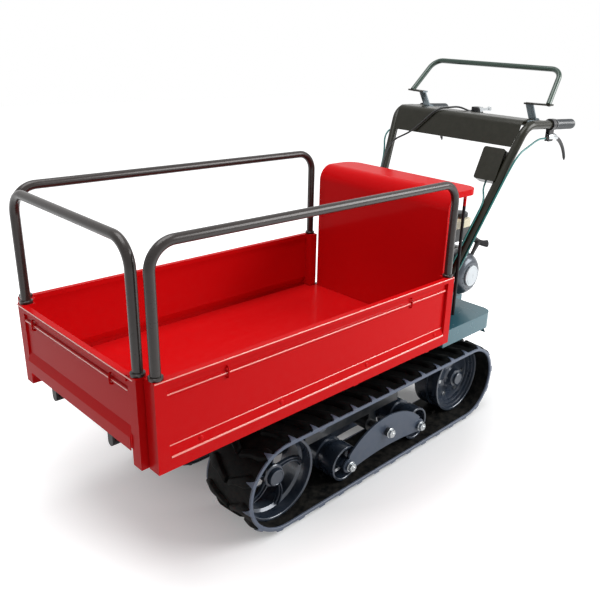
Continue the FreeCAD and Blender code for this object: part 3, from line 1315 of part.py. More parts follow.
def loop_handle(bar_height):
    """The travel handle: a bar hoop on two cranked straps that clasp the cross bar."""
    foot = point(PANEL_REAR - S.loop_foot_setback, S.loop_foot_side, S.loop_foot_height)
    head = point(PANEL_REAR - S.loop_top_setback, S.loop_top_side,
                 S.loop_top_height - S.loop_radius)
    points = [foot, head, Vector(head.x, -head.y, head.z), Vector(foot.x, -foot.y, foot.z)]
    bar = swept_rod(points, [S.loop_bend.number] * 2, S.loop_radius.number)
    straps = []
    pivot_x = (PANEL_REAR - S.cross_bar_setback).number
    outer = (S.cross_bar_radius + S.gap).number
    for side in (LEFT, RIGHT):
        y = S.strap_side.number * side
        knee = Vector((PANEL_REAR - S.strap_knee_setback).number, y, S.strap_knee.number)
        start = Vector(pivot_x, y, bar_height)
        way = (knee - start).normalize()
        upright = flat_strap([start + way * (outer + 1), knee], S.strap_width.number,
                             S.strap_thickness.number, Vector(0, 1, 0))
        clasp = Part.makeCylinder(outer + S.strap_thickness.number, S.strap_width.number,
                                  start - Vector(0, S.strap_width.number / 2, 0),
                                  Vector(0, 1, 0))
        clasp = clasp.cut(Part.makeCylinder(outer, S.strap_width.number + 2,
                                            start - Vector(0, S.strap_width.number / 2 + 1, 0),
                                            Vector(0, 1, 0)))
        arm_end = Vector(foot.x, (foot.y + S.loop_radius.number) * side, foot.z)
        arm = flat_strap([knee - Vector(0, S.strap_width.number / 2 * side, 0), arm_end],
                         S.strap_width.number, S.strap_thickness.number, Vector(1, 0, 0))
        straps.append(clasp.fuse([upright, arm]))
    keep("loop_bar", feature(bar.cut(straps)))
    keep("loop_brackets", feature(Part.makeCompound(straps)))


# ---------------------------------------------------------------- hand levers
LEVER_X = PANEL_REAR - S.lever_setback


def lever_place():
    """Where the clutch lever's clamp grips the left handle tube."""
    elbow, end = point(*ELBOW), point(*HANDLE_END)
    share = (LEVER_X.number - elbow.x) / (end.x - elbow.x)
    return elbow + (end - elbow) * share


def clutch_levers():
    """Steering-clutch lever under each grip: a clamp, a pin and a curved blade."""
    place = lever_place()
    width = S.clamp_width.number
    outer = S.handle_radius.number + S.clamp_wall.number
    way = (point(*HANDLE_END) - point(*ELBOW)).normalize()
    start = place + way * (-width / 2)
    clamp = Part.makeCylinder(outer, width, start, way)
    drop = S.lever_drop.number
    ear = Part.makeBox(width + 8, 14, drop, Vector(place.x - width / 2 - 4, place.y - 7,
                                                   place.z - drop))
    clamp = clamp.fuse(ear).cut(Part.makeCylinder(S.handle_radius.number, width * 3,
                                                  place - way * (width * 1.5), way))
    pin_at = Vector(place.x, place.y, place.z - drop + 10)
    slot_room = S.gap.number
    thick = S.blade_thickness.number
    slot = Part.makeBox(width + 20, thick + 2 * slot_room, 36,
                        Vector(place.x - width / 2 - 10, place.y - thick / 2 - slot_room,
                               place.z - drop - 2))
    clamp = clamp.cut(slot)
    hub = Part.makeCylinder(9, thick, pin_at - Vector(0, thick / 2, 0), Vector(0, 1, 0))
    bend = S.lever_bend.number
    centre = pin_at + Vector(-8, 0, -bend + 4)
    blade_ring = Part.makeCylinder(bend + 6, thick, centre - Vector(0, thick / 2, 0),
                                   Vector(0, 1, 0))
    blade_ring = blade_ring.cut(Part.makeCylinder(bend - 5, thick + 2,
                                                  centre - Vector(0, thick / 2 + 1, 0),
                                                  Vector(0, 1, 0)))
    reach, fall = S.lever_reach.number, S.lever_fall.number
    keep_box = Part.makeBox(reach, thick + 4, fall + 16,
                            Vector(pin_at.x - reach, pin_at.y - thick / 2 - 2, pin_at.z - fall))
    tail = Part.makeBox(22, thick, 9, Vector(pin_at.x, pin_at.y - thick / 2, pin_at.z - 4.5))
    blade = hub.fuse([blade_ring.common(keep_box), tail])
    bore = Part.makeCylinder(S.lever_pin_radius.number + S.pivot_clearance.number, thick * 3,
                             pin_at - Vector(0, thick * 1.5, 0), Vector(0, 1, 0))
    keep_pair("clutch_lever", feature(blade.cut(bore)))
    pin = Part.makeCylinder(S.lever_pin_radius.number, thick + 2 * slot_room,
                            pin_at - Vector(0, thick / 2 + slot_room, 0), Vector(0, 1, 0))
    keep_both("lever_clamps", feature(clamp.fuse(pin)))
    return pin_at


def throttle(bar_height):
    """Throttle clamp on the cross bar, with a small turning lever on its side."""
    x = (PANEL_REAR - S.cross_bar_setback).number
    width = S.throttle_width.number
    y = S.throttle_side.number
    outer = S.cross_bar_radius.number + S.clamp_wall.number
    start = Vector(x, y - width / 2, bar_height)
    clamp = Part.makeCylinder(outer, width, start, Vector(0, 1, 0))
    block = Part.makeBox(30, width, 26, Vector(x - 6, y - width / 2, bar_height + 4))
    clamp = clamp.fuse(block).cut(Part.makeCylinder(S.cross_bar_radius.number, width + 2,
                                                    start - Vector(0, 1, 0), Vector(0, 1, 0)))
    keep("throttle_clamp", feature(clamp))
    pivot = Vector(x + 10, y + width / 2 + S.gap.number, bar_height + S.throttle_rise.number)
    hub = Part.makeCylinder(8, 5, pivot, Vector(0, 1, 0))
    arm = Part.makeBox(S.throttle_lever_length.number, 5, 8,
                       pivot + Vector(-S.throttle_lever_length.number, 0, -4))
    knob = Part.makeCylinder(7, 9, pivot + Vector(-S.throttle_lever_length.number, -2, 0),
                             Vector(0, 1, 0))
    keep("throttle_lever", feature(hub.fuse([arm, knob])))


# ---------------------------------------------------------------- cables
def cables(bar_height, pin_at, box_outlet):
    """Control cables held along the handle tubes, down to the engine base."""
    off = S.handle_radius.number + S.cable_radius.number + S.gap.number
    base = BASE_TOP.number
    way = (point(*ELBOW) - point(*FOOT)).normalize()
    ahead = Vector(way.z, 0, -way.x).normalize()
    clutch = []
    for side in (LEFT, RIGHT):
        tail = Vector(pin_at.x + 24, pin_at.y * side, pin_at.z)
        outward = Vector(0, off * side, 0)
        run = [handle_axis(height, side) + outward for height in (800, 480)]
        high = handle_axis(868, side) + Vector(14, (off + 10) * side, 0)
        mid = Vector(pin_at.x + 78, (pin_at.y + 6) * side, pin_at.z + 2)
        points = [tail, mid, high] + run
        last = run[-1] + Vector(20, 10 * side, -62)
        points += [last, Vector(last.x, last.y, base)]
        clutch.append(cable("clutch_cable", points))
    keep("clutch_cables", feature(Part.makeCompound(clutch)))
    x = (PANEL_REAR - S.cross_bar_setback).number
    front_face = handle_axis(930).x + 12
    top = S.console_top.number + S.cable_radius.number + 3
    throttle_run = [Vector(x + 24, -8, bar_height + 17), Vector(x + 44, -8, bar_height + 17),
                    Vector(x + 68, -34, top + 8),
                    Vector(front_face - 8, -78, top), Vector(front_face + 8, -112, 930),
                    Vector(handle_axis(886).x + 18, -152, 886)]
    for height in (838, 770):
        throttle_run.append(handle_axis(height, RIGHT) + ahead * off
                            + Vector(0, 12 if height > 800 else 0, 0))
    throttle_run.append(handle_axis(470, RIGHT) + ahead * off)
    last = throttle_run[-1] + Vector(66, 6, -58)
    throttle_run += [last, Vector(last.x, last.y, base)]
    keep("throttle_cable", feature(cable("throttle_cable", throttle_run)))
    outlet, up = box_outlet
    travel = [outlet, outlet - up * 24]
    for height in (716, 470):
        travel.append(handle_axis(height) + ahead * off + Vector(0, -4, 0))
    last = travel[-1] + Vector(66, -6, -58)
    travel += [last, Vector(last.x, last.y, base)]
    keep("travel_cable", feature(cable("travel_cable", travel)))


bed_floor()
side_panel()
slide_sleeves()
front_panel()
front_rods()
guard_rails()
track_belt()
idler()
sprocket()
rollers()
bogie()
carrier_roller()
track_frame()
chassis()
transmission()
engine_base()
engine_cover()
cover_stays()
engine_block()
cylinder()
blower_housing()
recoil_starter()
starter_grip()
fuel_tank()
air_cleaner()
muffler()
belt_drive()
handle_tubes()
BAR_HEIGHT = cross_bar()
console()
BOX_OUTLET = control_box()
loop_handle(BAR_HEIGHT)
PIN_AT = clutch_levers()
throttle(BAR_HEIGHT)
cables(BAR_HEIGHT, PIN_AT, BOX_OUTLET)

doc.recompute()
for item in doc.Objects:
    if "Invalid" in item.State or "Error" in item.State:
        raise RuntimeError(f"{item.Name} did not build: {item.State}, {item.Label}")
for name, item in PARTS.items():
    if item.Shape.isNull() or not item.Shape.isValid():
        raise RuntimeError(f"{name} has no valid shape")
os.makedirs("parts", exist_ok=True)
for name, item in PARTS.items():
    item.Shape.exportStep(os.path.join("parts", name + ".step"))
print(len(PARTS), "sub-parts written")
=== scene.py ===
# %% [markdown]
# # A tracked power wheelbarrow
# This lesson dresses a finished mechanical frame. The frame holds every solid of the machine
# at its real size, and its moving bodies. Here each solid gets a finish, and the pieces whose
# curves matter most are made again as fine surfaces, worked out with numpy.

# %% The frame
import json
import math

import bmesh
import bpy
import numpy as np
from mathutils import Matrix, Vector


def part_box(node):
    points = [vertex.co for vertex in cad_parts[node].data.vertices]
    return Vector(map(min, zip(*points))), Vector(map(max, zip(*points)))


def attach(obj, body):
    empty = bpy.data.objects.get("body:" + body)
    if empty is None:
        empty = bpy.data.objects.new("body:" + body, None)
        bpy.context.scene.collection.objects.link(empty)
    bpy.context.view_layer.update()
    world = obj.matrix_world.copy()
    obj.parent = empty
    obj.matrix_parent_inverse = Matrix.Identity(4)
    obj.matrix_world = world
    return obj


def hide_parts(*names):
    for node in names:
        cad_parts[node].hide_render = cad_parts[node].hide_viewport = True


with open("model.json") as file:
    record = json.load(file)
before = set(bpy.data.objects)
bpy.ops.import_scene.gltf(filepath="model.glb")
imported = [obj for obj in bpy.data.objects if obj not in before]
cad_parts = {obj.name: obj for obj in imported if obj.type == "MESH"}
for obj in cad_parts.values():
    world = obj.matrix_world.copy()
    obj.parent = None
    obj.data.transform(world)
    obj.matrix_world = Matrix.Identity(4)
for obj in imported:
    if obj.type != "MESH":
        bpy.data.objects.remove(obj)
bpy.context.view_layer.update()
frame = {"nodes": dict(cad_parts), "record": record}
nodes = frame["nodes"]
mm = 0.001  # the wheels' profiles are in millimetres
WORD = {1: "left", -1: "right"}

# %% [markdown]
# A camera is made before anything else, so that every later step can be looked at at once.
# The machine is seen from above its front left corner, with the lens a little off centre.

# %% Camera
camera_data = bpy.data.cameras.new("Camera")
camera_data.sensor_width = 36
camera_data.lens = 41.32
camera_data.shift_x = -0.0951
camera_data.clip_end = 60
camera = bpy.data.objects.new("Camera", camera_data)
bpy.context.scene.collection.objects.link(camera)
yaw, pitch, roll = math.radians(221.79), math.radians(21.0), 0.0534
eye = Vector((1.4098, 1.3374, 1.1823))
ahead = Vector((math.cos(yaw) * math.cos(pitch), math.sin(yaw) * math.cos(pitch),
                -math.sin(pitch)))
level_right = Vector((math.sin(yaw), -math.cos(yaw), 0))
level_up = level_right.cross(ahead)
right = level_right * math.cos(roll) + level_up * math.sin(roll)
up = level_up * math.cos(roll) - level_right * math.sin(roll)
turn = Matrix((right, up, -ahead)).transposed().to_4x4()
camera.matrix_world = Matrix.Translation(eye) @ turn
bpy.context.scene.camera = camera
print("camera at", [round(value, 3) for value in eye])

# %% [markdown]
# The light is that of a plain studio: one broad lamp behind the machine's left side, whose
# light runs along every fold of the panels, a second one overhead, and an even pale world.
# The world is white to the eye, in mirrors and through clear plastic, so the background is
# white without more light on the machine.

# %% Light
def set_inputs(node, values):
    """Sets a node's named inputs from a dictionary."""
    for title, value in values.items():
        node.inputs[title].default_value = value


def area_light(name, place, target, size, power):
    """A square lamp of a given size at a place, facing a target point."""
    data = bpy.data.lights.new(name, "AREA")
    data.shape = "SQUARE"
    data.size = size
    data.energy = power
    lamp = bpy.data.objects.new(name, data)
    bpy.context.scene.collection.objects.link(lamp)
    lamp.location = place
    way = Vector(target) - Vector(place)
    lamp.rotation_mode = "QUATERNION"
    lamp.rotation_quaternion = way.to_track_quat("-Z", "Y")


area_light("Left lamp", (-2.3, 2.7, 2.2), (0, 0.1, 0.4), 2.2, 138)
area_light("Top lamp", (0.65, -0.1, 3.6), (0.1, 0, 0.4), 2.4, 86)

world = bpy.data.worlds.new("Studio")
world.use_nodes = True
bpy.context.scene.world = world
tree = world.node_tree
tree.nodes.clear()
world_out = tree.nodes.new("ShaderNodeOutputWorld")
soft = tree.nodes.new("ShaderNodeBackground")
set_inputs(soft, {"Color": (0.93, 0.96, 1.0, 1), "Strength": 0.19})
white = tree.nodes.new("ShaderNodeBackground")
set_inputs(white, {"Color": (1, 1, 1, 1), "Strength": 1.0})


def clear_rays(tree):
    """One for eye, mirror and see-through rays, zero for the rays that light things."""
    rays = tree.nodes.new("ShaderNodeLightPath")
    total = rays.outputs["Is Camera Ray"]
    for title in ("Is Glossy Ray", "Is Transmission Ray"):
        larger = tree.nodes.new("ShaderNodeMath")
        larger.operation = "MAXIMUM"
        tree.links.new(total, larger.inputs[0])
        tree.links.new(rays.outputs[title], larger.inputs[1])
        total = larger.outputs[0]
    return total


choose = tree.nodes.new("ShaderNodeMixShader")
tree.links.new(clear_rays(tree), choose.inputs[0])
tree.links.new(soft.outputs[0], choose.inputs[1])
tree.links.new(white.outputs[0], choose.inputs[2])
tree.links.new(choose.outputs[0], world_out.inputs[0])
bpy.context.scene.view_settings.view_transform = "Standard"
print("two lamps and a world that is white to the eye")

# %% [markdown]
# A studio floor runs up into a white wall. This one is a flat pale sheet that takes the
# shadow. It glows a little to the eye, and more with distance, so that it joins the white
# world without more light on the machine.

# %% Floor
FLOOR_HALF, FLOOR_LEVEL = 9, -0.0005
floor_corners = [(FLOOR_HALF * x, FLOOR_HALF * y, FLOOR_LEVEL)
                 for x, y in ((-1, -1), (1, -1), (1, 1), (-1, 1))]
floor_mesh = bpy.data.meshes.new("Studio floor")
floor_mesh.from_pydata(floor_corners, [], [(0, 1, 2, 3)])
studio_floor = bpy.data.objects.new("Studio_floor", floor_mesh)
bpy.context.scene.collection.objects.link(studio_floor)
floor_paint = bpy.data.materials.new("Studio floor")
floor_paint.use_nodes = True
floor_tree = floor_paint.node_tree
floor_shader = floor_tree.nodes["Principled BSDF"]
set_inputs(floor_shader, {"Base Color": (0.78, 0.78, 0.78, 1), "Roughness": 0.9,
                          "Specular IOR Level": 0.1, "Emission Color": (1, 1, 1, 1)})
floor_mesh.materials.append(floor_paint)

floor_place = floor_tree.nodes.new("ShaderNodeTexCoord").outputs["Object"]
distance = floor_tree.nodes.new("ShaderNodeVectorMath")
distance.operation = "LENGTH"
floor_tree.links.new(floor_place, distance.inputs[0])
glow = floor_tree.nodes.new("ShaderNodeMapRange")
set_inputs(glow, {"From Min": 0.42, "From Max": 1.25, "To Min": 0.16, "To Max": 0.95})
floor_tree.links.new(distance.outputs["Value"], glow.inputs["Value"])
strength = floor_tree.nodes.new("ShaderNodeMath")
strength.operation = "MULTIPLY"
floor_tree.links.new(glow.outputs["Result"], strength.inputs[0])
floor_tree.links.new(clear_rays(floor_tree), strength.inputs[1])
floor_tree.links.new(strength.outputs[0], floor_shader.inputs["Emission Strength"])
print("floor", 2 * FLOOR_HALF, "m wide")

# %% [markdown]
# Two effects are shared by many finishes, so each is a node group, built once. The first
# puts slow changes of tone and a film of dust on a colour, more dust near the ground. The
# second gives a height for a Bump node: the waviness of sprayed paint, or the grain of
# moulded rubber and cast metal.

# %% Shared effects
def new_group(name, inputs, outputs):
    """A shader node group with named value and colour sockets."""
    group = bpy.data.node_groups.new(name, "ShaderNodeTree")
    for title, kind, number in inputs:
        socket = group.interface.new_socket(title, in_out="INPUT", socket_type=kind)
        socket.default_value = number
    for title, kind in outputs:
        group.interface.new_socket(title, in_out="OUTPUT", socket_type=kind)
    start = group.nodes.new("NodeGroupInput")
    end = group.nodes.new("NodeGroupOutput")
    return group, start, end


def feed(tree, node, values):
    """Each input, by its number, is linked to a socket or set to a plain value."""
    for index, value in values.items():
        if hasattr(value, "links"):
            tree.links.new(value, node.inputs[index])
        else:
            node.inputs[index].default_value = value


def mix_colour(tree, factor, a, b):
    """A colour mix node; each input is a socket or a plain value."""
    node = tree.nodes.new("ShaderNodeMix")
    node.data_type = "RGBA"
    feed(tree, node, {0: factor, 6: a, 7: b})
    return node.outputs[2]


def math_node(tree, operation, a, b=0.0, clamp=False):
    """A math node; each input is a socket or a number."""
    node = tree.nodes.new("ShaderNodeMath")
    node.operation = operation
    node.use_clamp = clamp
    feed(tree, node, {0: a, 1: b})
    return node.outputs[0]


def noise(tree, place, scale, detail=4.0, rough=0.55):
    """A noise texture on object coordinates."""
    node = tree.nodes.new("ShaderNodeTexNoise")
    set_inputs(node, {"Scale": scale, "Detail": detail, "Roughness": rough})
    tree.links.new(place, node.inputs["Vector"])
    return node.outputs["Fac"]


def build_weathering():
    """Tone x (1 + amount x (noise - 0.5)), then dust over it by height and by noise."""
    colour = "NodeSocketColor"
    number = "NodeSocketFloat"
    group, start, end = new_group(
        "Weathering",
        [("Colour", colour, (0.5, 0.5, 0.5, 1)), ("Tone change", number, 0.1),
         ("Dust colour", colour, (0.3, 0.27, 0.23, 1)), ("Dust", number, 0.2),
         ("Dust height", number, 0.3), ("Roughness", number, 0.4)],
        [("Colour", colour), ("Roughness", number)])
    place = group.nodes.new("ShaderNodeTexCoord").outputs["Object"]
    slow = noise(group, place, 5.0, 3.0)
    fine = noise(group, place, 48.0, 6.0, 0.65)
    shift = math_node(group, "MULTIPLY", math_node(group, "SUBTRACT", slow, 0.5),
                      start.outputs["Tone change"])
    value = math_node(group, "ADD", shift, 1.0)
    hue = group.nodes.new("ShaderNodeHueSaturation")
    group.links.new(start.outputs["Colour"], hue.inputs["Color"])
    group.links.new(value, hue.inputs["Value"])
    split = group.nodes.new("ShaderNodeSeparateXYZ")
    group.links.new(place, split.inputs[0])
    height = math_node(group, "DIVIDE", split.outputs["Z"], start.outputs["Dust height"])
    low = math_node(group, "SUBTRACT", 1.0, height, clamp=True)
    speckle = math_node(group, "MULTIPLY", math_node(group, "SUBTRACT", fine, 0.38), 3.0,
                        clamp=True)
    film = math_node(group, "MULTIPLY", math_node(group, "MULTIPLY", low, speckle),
                     start.outputs["Dust"], clamp=True)
    mixed = mix_colour(group, film, hue.outputs["Color"], start.outputs["Dust colour"])
    rough = math_node(group, "ADD", start.outputs["Roughness"],
                      math_node(group, "MULTIPLY", film, 0.35), clamp=True)
    rough = math_node(group, "ADD", rough,
                      math_node(group, "MULTIPLY", math_node(group, "SUBTRACT", fine, 0.5),
                                0.08), clamp=True)
    group.links.new(mixed, end.inputs["Colour"])
    group.links.new(rough, end.inputs["Roughness"])
    return group


def build_surface_grain():
    """Height = coarse noise x wave + fine noise x grain."""
    number = "NodeSocketFloat"
    group, start, end = new_group(
        "Surface grain",
        [("Wave", number, 0.5), ("Wave scale", number, 30.0), ("Grain", number, 0.5),
         ("Grain scale", number, 400.0)], [("Height", number)])
    place = group.nodes.new("ShaderNodeTexCoord").outputs["Object"]
    heights = []
    for amount, scale, detail in (("Wave", "Wave scale", 2.0), ("Grain", "Grain scale", 3.0)):
        texture = group.nodes.new("ShaderNodeTexNoise")
        texture.inputs["Detail"].default_value = detail
        group.links.new(place, texture.inputs["Vector"])
        group.links.new(start.outputs[scale], texture.inputs["Scale"])
        heights.append(math_node(group, "MULTIPLY", texture.outputs["Fac"],
                                 start.outputs[amount]))
    group.links.new(math_node(group, "ADD", *heights), end.inputs["Height"])
    return group


weathering = build_weathering()
surface_grain = build_surface_grain()
print("node groups:", weathering.name, "and", surface_grain.name)

# %% [markdown]
# A finish is one Principled material fed by both groups, so paint, rubber and metal differ
# only by their numbers. Its colour is a display colour, from 0 to 255, which a formula turns
# into the linear colour of the shader.

# %% One finish
COAT_ROUGHNESS, BUMP_DEPTH = 0.08, 0.002


def srgb(red, green, blue):
    """A display colour from 0 to 255 as the linear colour the shader works in."""
    value = np.array([red, green, blue]) / 255
    linear = np.where(value <= 0.04045, value / 12.92, ((value + 0.055) / 1.055) ** 2.4)
    return (*linear.tolist(), 1.0)


def finish_of(name, colour, roughness, metallic=0.0, coat=0.0, tone=0.12, dust=0.15,
              dust_height=0.5, wave=0.15, wave_scale=18.0, grain=0.1, grain_scale=500.0,
              bump=0.15, specular=0.5):
    """A Principled material fed by the weathering and surface-grain groups."""
    material = bpy.data.materials.new(name)
    material.use_nodes = True
    tree = material.node_tree
    shader = tree.nodes["Principled BSDF"]
    film = tree.nodes.new("ShaderNodeGroup")
    film.node_tree = weathering
    set_inputs(film, {"Colour": colour, "Tone change": tone, "Dust": dust,
                      "Dust height": dust_height, "Roughness": roughness})
    tree.links.new(film.outputs["Colour"], shader.inputs["Base Color"])
    tree.links.new(film.outputs["Roughness"], shader.inputs["Roughness"])
    set_inputs(shader, {"Metallic": metallic, "Coat Weight": coat,
                        "Coat Roughness": COAT_ROUGHNESS, "Specular IOR Level": specular})
    texture = tree.nodes.new("ShaderNodeGroup")
    texture.node_tree = surface_grain
    set_inputs(texture, {"Wave": wave, "Wave scale": wave_scale, "Grain": grain,
                         "Grain scale": grain_scale})
    bumps = tree.nodes.new("ShaderNodeBump")
    set_inputs(bumps, {"Strength": bump, "Distance": BUMP_DEPTH})
    tree.links.new(texture.outputs["Height"], bumps.inputs["Height"])
    tree.links.new(bumps.outputs["Normal"], shader.inputs["Normal"])
    return material


# %% [markdown]
# The finishes carry the names of the record's material slots. The bed and the cover are
# gloss enamel over pressed sheet, the rails a dark metallic lacquer, the handle a satin
# green-black, and the running gear a blue-grey paint that dust settles on.

# %% Finishes
finishes = {
    "red_paint": finish_of("Red enamel", srgb(204, 14, 18), 0.32, coat=0.05, tone=0.06,
                           dust=0.05, dust_height=0.6, wave=0.5, wave_scale=9, grain=0.03,
                           bump=0.08, specular=0.025),
    "rail_paint": finish_of("Gunmetal lacquer", srgb(44, 38, 36), 0.28, metallic=0.12,
                            coat=0.12, specular=0.35, dust=0.08, dust_height=1.0),
    "black_rod": finish_of("Black rod", srgb(24, 24, 26), 0.4, specular=0.15),
    "track_rubber": finish_of("Track rubber", srgb(10, 12, 13), 0.52, tone=0.25, dust=0.10,
                              dust_height=0.32, grain=0.3, grain_scale=260, bump=0.2,
                              specular=0.06),
    "wheel_paint": finish_of("Wheel paint", srgb(40, 51, 66), 0.28, coat=0.5, dust=0.10,
                             dust_height=0.35, metallic=0.25),
    "frame_paint": finish_of("Frame paint", srgb(30, 34, 38), 0.38, coat=0.2, dust=0.12),
    "bogie_paint": finish_of("Rocker paint", srgb(64, 75, 91), 0.38, metallic=0.3,
                             coat=0.1, dust=0.10, dust_height=0.3),
    "base_paint": finish_of("Base enamel", srgb(42, 92, 104), 0.26, coat=0.15, specular=0.35,
                            dust=0.04),
    "case_metal": finish_of("Gear case", srgb(52, 56, 60), 0.5, metallic=0.3, grain=0.6,
                            grain_scale=180, bump=0.3),
    "engine_black": finish_of("Engine black", srgb(28, 30, 33), 0.34, coat=0.3),
    "cast_alloy": finish_of("Cast alloy", srgb(168, 170, 172), 0.45, metallic=0.8,
                            grain=0.5, grain_scale=220, bump=0.3),
    "starter_grey": finish_of("Starter grey", srgb(62, 69, 78), 0.30, metallic=0.4,
                              coat=0.3),
    "disc_white": finish_of("White disc", srgb(206, 212, 216), 0.35, dust=0.03),
    "black_plastic": finish_of("Black plastic", srgb(24, 25, 27), 0.40, grain=0.4,
                               grain_scale=420, bump=0.15),
    "tank_plastic": finish_of("Tank plastic", srgb(214, 206, 178), 0.4, dust=0.06),
    "zinc": finish_of("Zinc plate", srgb(190, 194, 196), 0.24, metallic=1.0, grain=0.2),
    "handle_paint": finish_of("Handle lacquer", srgb(30, 30, 20), 0.30, metallic=0.1,
                              coat=0.1, specular=0.25, dust=0.06, dust_height=1.4),
    "loop_paint": finish_of("Loop lacquer", srgb(18, 52, 38), 0.26, metallic=0.1, coat=0.3,
                            dust=0.03, dust_height=1.4),
    "grip_rubber": finish_of("Grip rubber", srgb(40, 46, 50), 0.36, coat=0.3, grain=0.4,
                             grain_scale=380, bump=0.2),
    "cable_black": finish_of("Cable sleeve", srgb(30, 33, 34), 0.36),
    "cable_teal": finish_of("Teal sleeve", srgb(24, 112, 108), 0.34, coat=0.3),
}

# A lighter blue-grey rubber for the belt's lips and lug tips: partly wear, partly a painted
# highlight where their edges catch the light.
worn_and_highlit_rubber = finish_of("Worn rubber edge and painted highlight", srgb(84, 94, 112), 0.40, tone=0.2, dust=0.1,
                        dust_height=0.32, grain=0.2, bump=0.1, specular=0.4)

slot_of = {entry["node"]: entry["material_slot"] for entry in frame["record"]["subparts"]}
for name, node in nodes.items():
    node.data.materials.clear()
    node.data.materials.append(finishes[slot_of[name]])
print(len(finishes), "finishes on", len(nodes), "nodes")

# %% [markdown]
# Real sheet and castings have no knife edges: every fold, cut and corner is a little round,
# and it is this line of light along an edge that makes metal look like metal. Each CAD solid
# with sharp corners is copied, its loose triangles are merged into clean faces, and a narrow
# bevel rounds whatever turns by more than thirty degrees, or fourteen on the pressed sheets.

# %% Softened solids
def finish_piece(piece, slot, body):
    """Gives a piece its finish and its place in the machine's moving bodies."""
    if not piece.data.materials:
        piece.data.materials.append(finishes[slot])
    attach(piece, body)
    return piece


body_of = {node: body for body, members in
           (frame["record"]["behaviour"]["bodies"]).items() for node in members}


CAST_TURN, PRESSED_TURN = 30, 14


def softened(name, width, turn):
    """A merged copy of a CAD node, bevelled where it turns by more than an angle."""
    mesh = nodes[name].data.copy()
    mesh.name = name + " soft"
    work = bmesh.new()
    work.from_mesh(mesh)
    bmesh.ops.remove_doubles(work, verts=work.verts, dist=2e-5)
    bmesh.ops.dissolve_limit(work, angle_limit=math.radians(0.8), verts=work.verts,
                             edges=work.edges)
    work.to_mesh(mesh)
    work.free()
    mesh.shade_smooth()
    mesh.set_sharp_from_angle(angle=math.radians(turn))
    piece = bpy.data.objects.new(name + "_soft", mesh)
    bpy.context.scene.collection.objects.link(piece)
    bevel = piece.modifiers.new("Soft edges", "BEVEL")
    bevel.width = width
    bevel.segments = 2
    bevel.limit_method = "ANGLE"
    bevel.angle_limit = math.radians(turn)
    bevel.harden_normals = True
    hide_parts(name)
    return finish_piece(piece, slot_of[name], body_of[name])


SOFT = {
    "engine_base": 0.0012, "control_box": 0.002, "bed_floor": 0.0006,
    "console_panel": 0.0006, "fuel_tank": 0.005, "air_cleaner": 0.003, "muffler": 0.003,
    "engine_block": 0.002, "cylinder": 0.0006, "carburettor": 0.002,
    "blower_housing": 0.003, "transmission_case": 0.002, "belt_guard": 0.001,
    "left_bogie": 0.0012, "right_bogie": 0.0012, "left_carrier_roller": 0.001,
    "right_carrier_roller": 0.001, "track_frames": 0.002, "chassis_frame": 0.002,
    "loop_brackets": 0.0009, "throttle_lever": 0.001, "throttle_clamp": 0.002,
    "engine_pulley": 0.001, "gearbox_pulley": 0.001, "lever_clamps": 0.0012,
}
PRESSED = {"left_side_panel": 0.0011, "right_side_panel": 0.0011, "front_panel": 0.0011,
           "engine_cover": 0.0006}
for widths, turn in ((SOFT, CAST_TURN), (PRESSED, PRESSED_TURN)):
    for name, width in widths.items():
        softened(name, width, turn)

# The travel loop's straps are a lighter grey-blue metal below their arms.
STRAP_TOP = 1.002
straps = bpy.data.objects["loop_brackets_soft"].data
straps.materials.append(finish_of("Light strap", srgb(120, 132, 138), 0.3, metallic=0.6,
                                  dust_height=1.4))
for face in straps.polygons:
    face.material_index = int(face.center.z < STRAP_TOP)
print(len(SOFT) + len(PRESSED), "solids softened")

# %% [markdown]
# Every other fine shape is a grid of points worked out with numpy and joined into faces. One
# function makes the faces; the tubes, the turned wheels and the belt all go through it.

# %% Grid to mesh
def surface(name, points, closed_u=False, closed_v=False, capped=False, smooth=30):
    """A mesh over a grid of points (..., rows, columns, 3); leading axes are separate shells.

    Face (i, j) joins points (i, j), (i + 1, j), (i + 1, j + 1) and (i, j + 1).
    """
    rows, columns = points.shape[-3:-1]
    shells = points.reshape(-1, rows, columns, 3)
    i = np.arange(rows if closed_u else rows - 1)
    j = np.arange(columns if closed_v else columns - 1)
    i, j = np.meshgrid(i, j, indexing="ij")
    after_i, after_j = (i + 1) % rows, (j + 1) % columns
    quads = np.stack([i * columns + j, after_i * columns + j,
                      after_i * columns + after_j, i * columns + after_j], -1).reshape(-1, 4)
    base = np.arange(len(shells))[:, None, None] * rows * columns
    quads = (base + quads[None]).reshape(-1, 4)
    faces = quads.tolist()
    if capped:
        ring = np.arange(columns)
        ends = np.stack([ring[::-1], (rows - 1) * columns + ring])
        faces += (np.arange(len(shells))[:, None, None] * rows * columns
                  + ends[None]).reshape(-1, columns).tolist()
    mesh = bpy.data.meshes.new(name)
    mesh.from_pydata(shells.reshape(-1, 3), [], faces)
    work = bmesh.new()
    work.from_mesh(mesh)
    bmesh.ops.recalc_face_normals(work, faces=work.faces)
    work.to_mesh(mesh)
    work.free()
    mesh.shade_smooth()
    mesh.set_sharp_from_angle(angle=math.radians(smooth))
    piece = bpy.data.objects.new(name, mesh)
    bpy.context.scene.collection.objects.link(piece)
    return piece


# %% [markdown]
# Round tube is the easiest shape to spoil: too few sides and its highlight breaks up. Every
# tube of the rails, the handle and the loop lies in a plane, so its centre line is a run of
# straights and arcs in that plane, and a circle of forty-eight points is carried along it.

# %% Bent tubes
ARC_STEP = 0.004


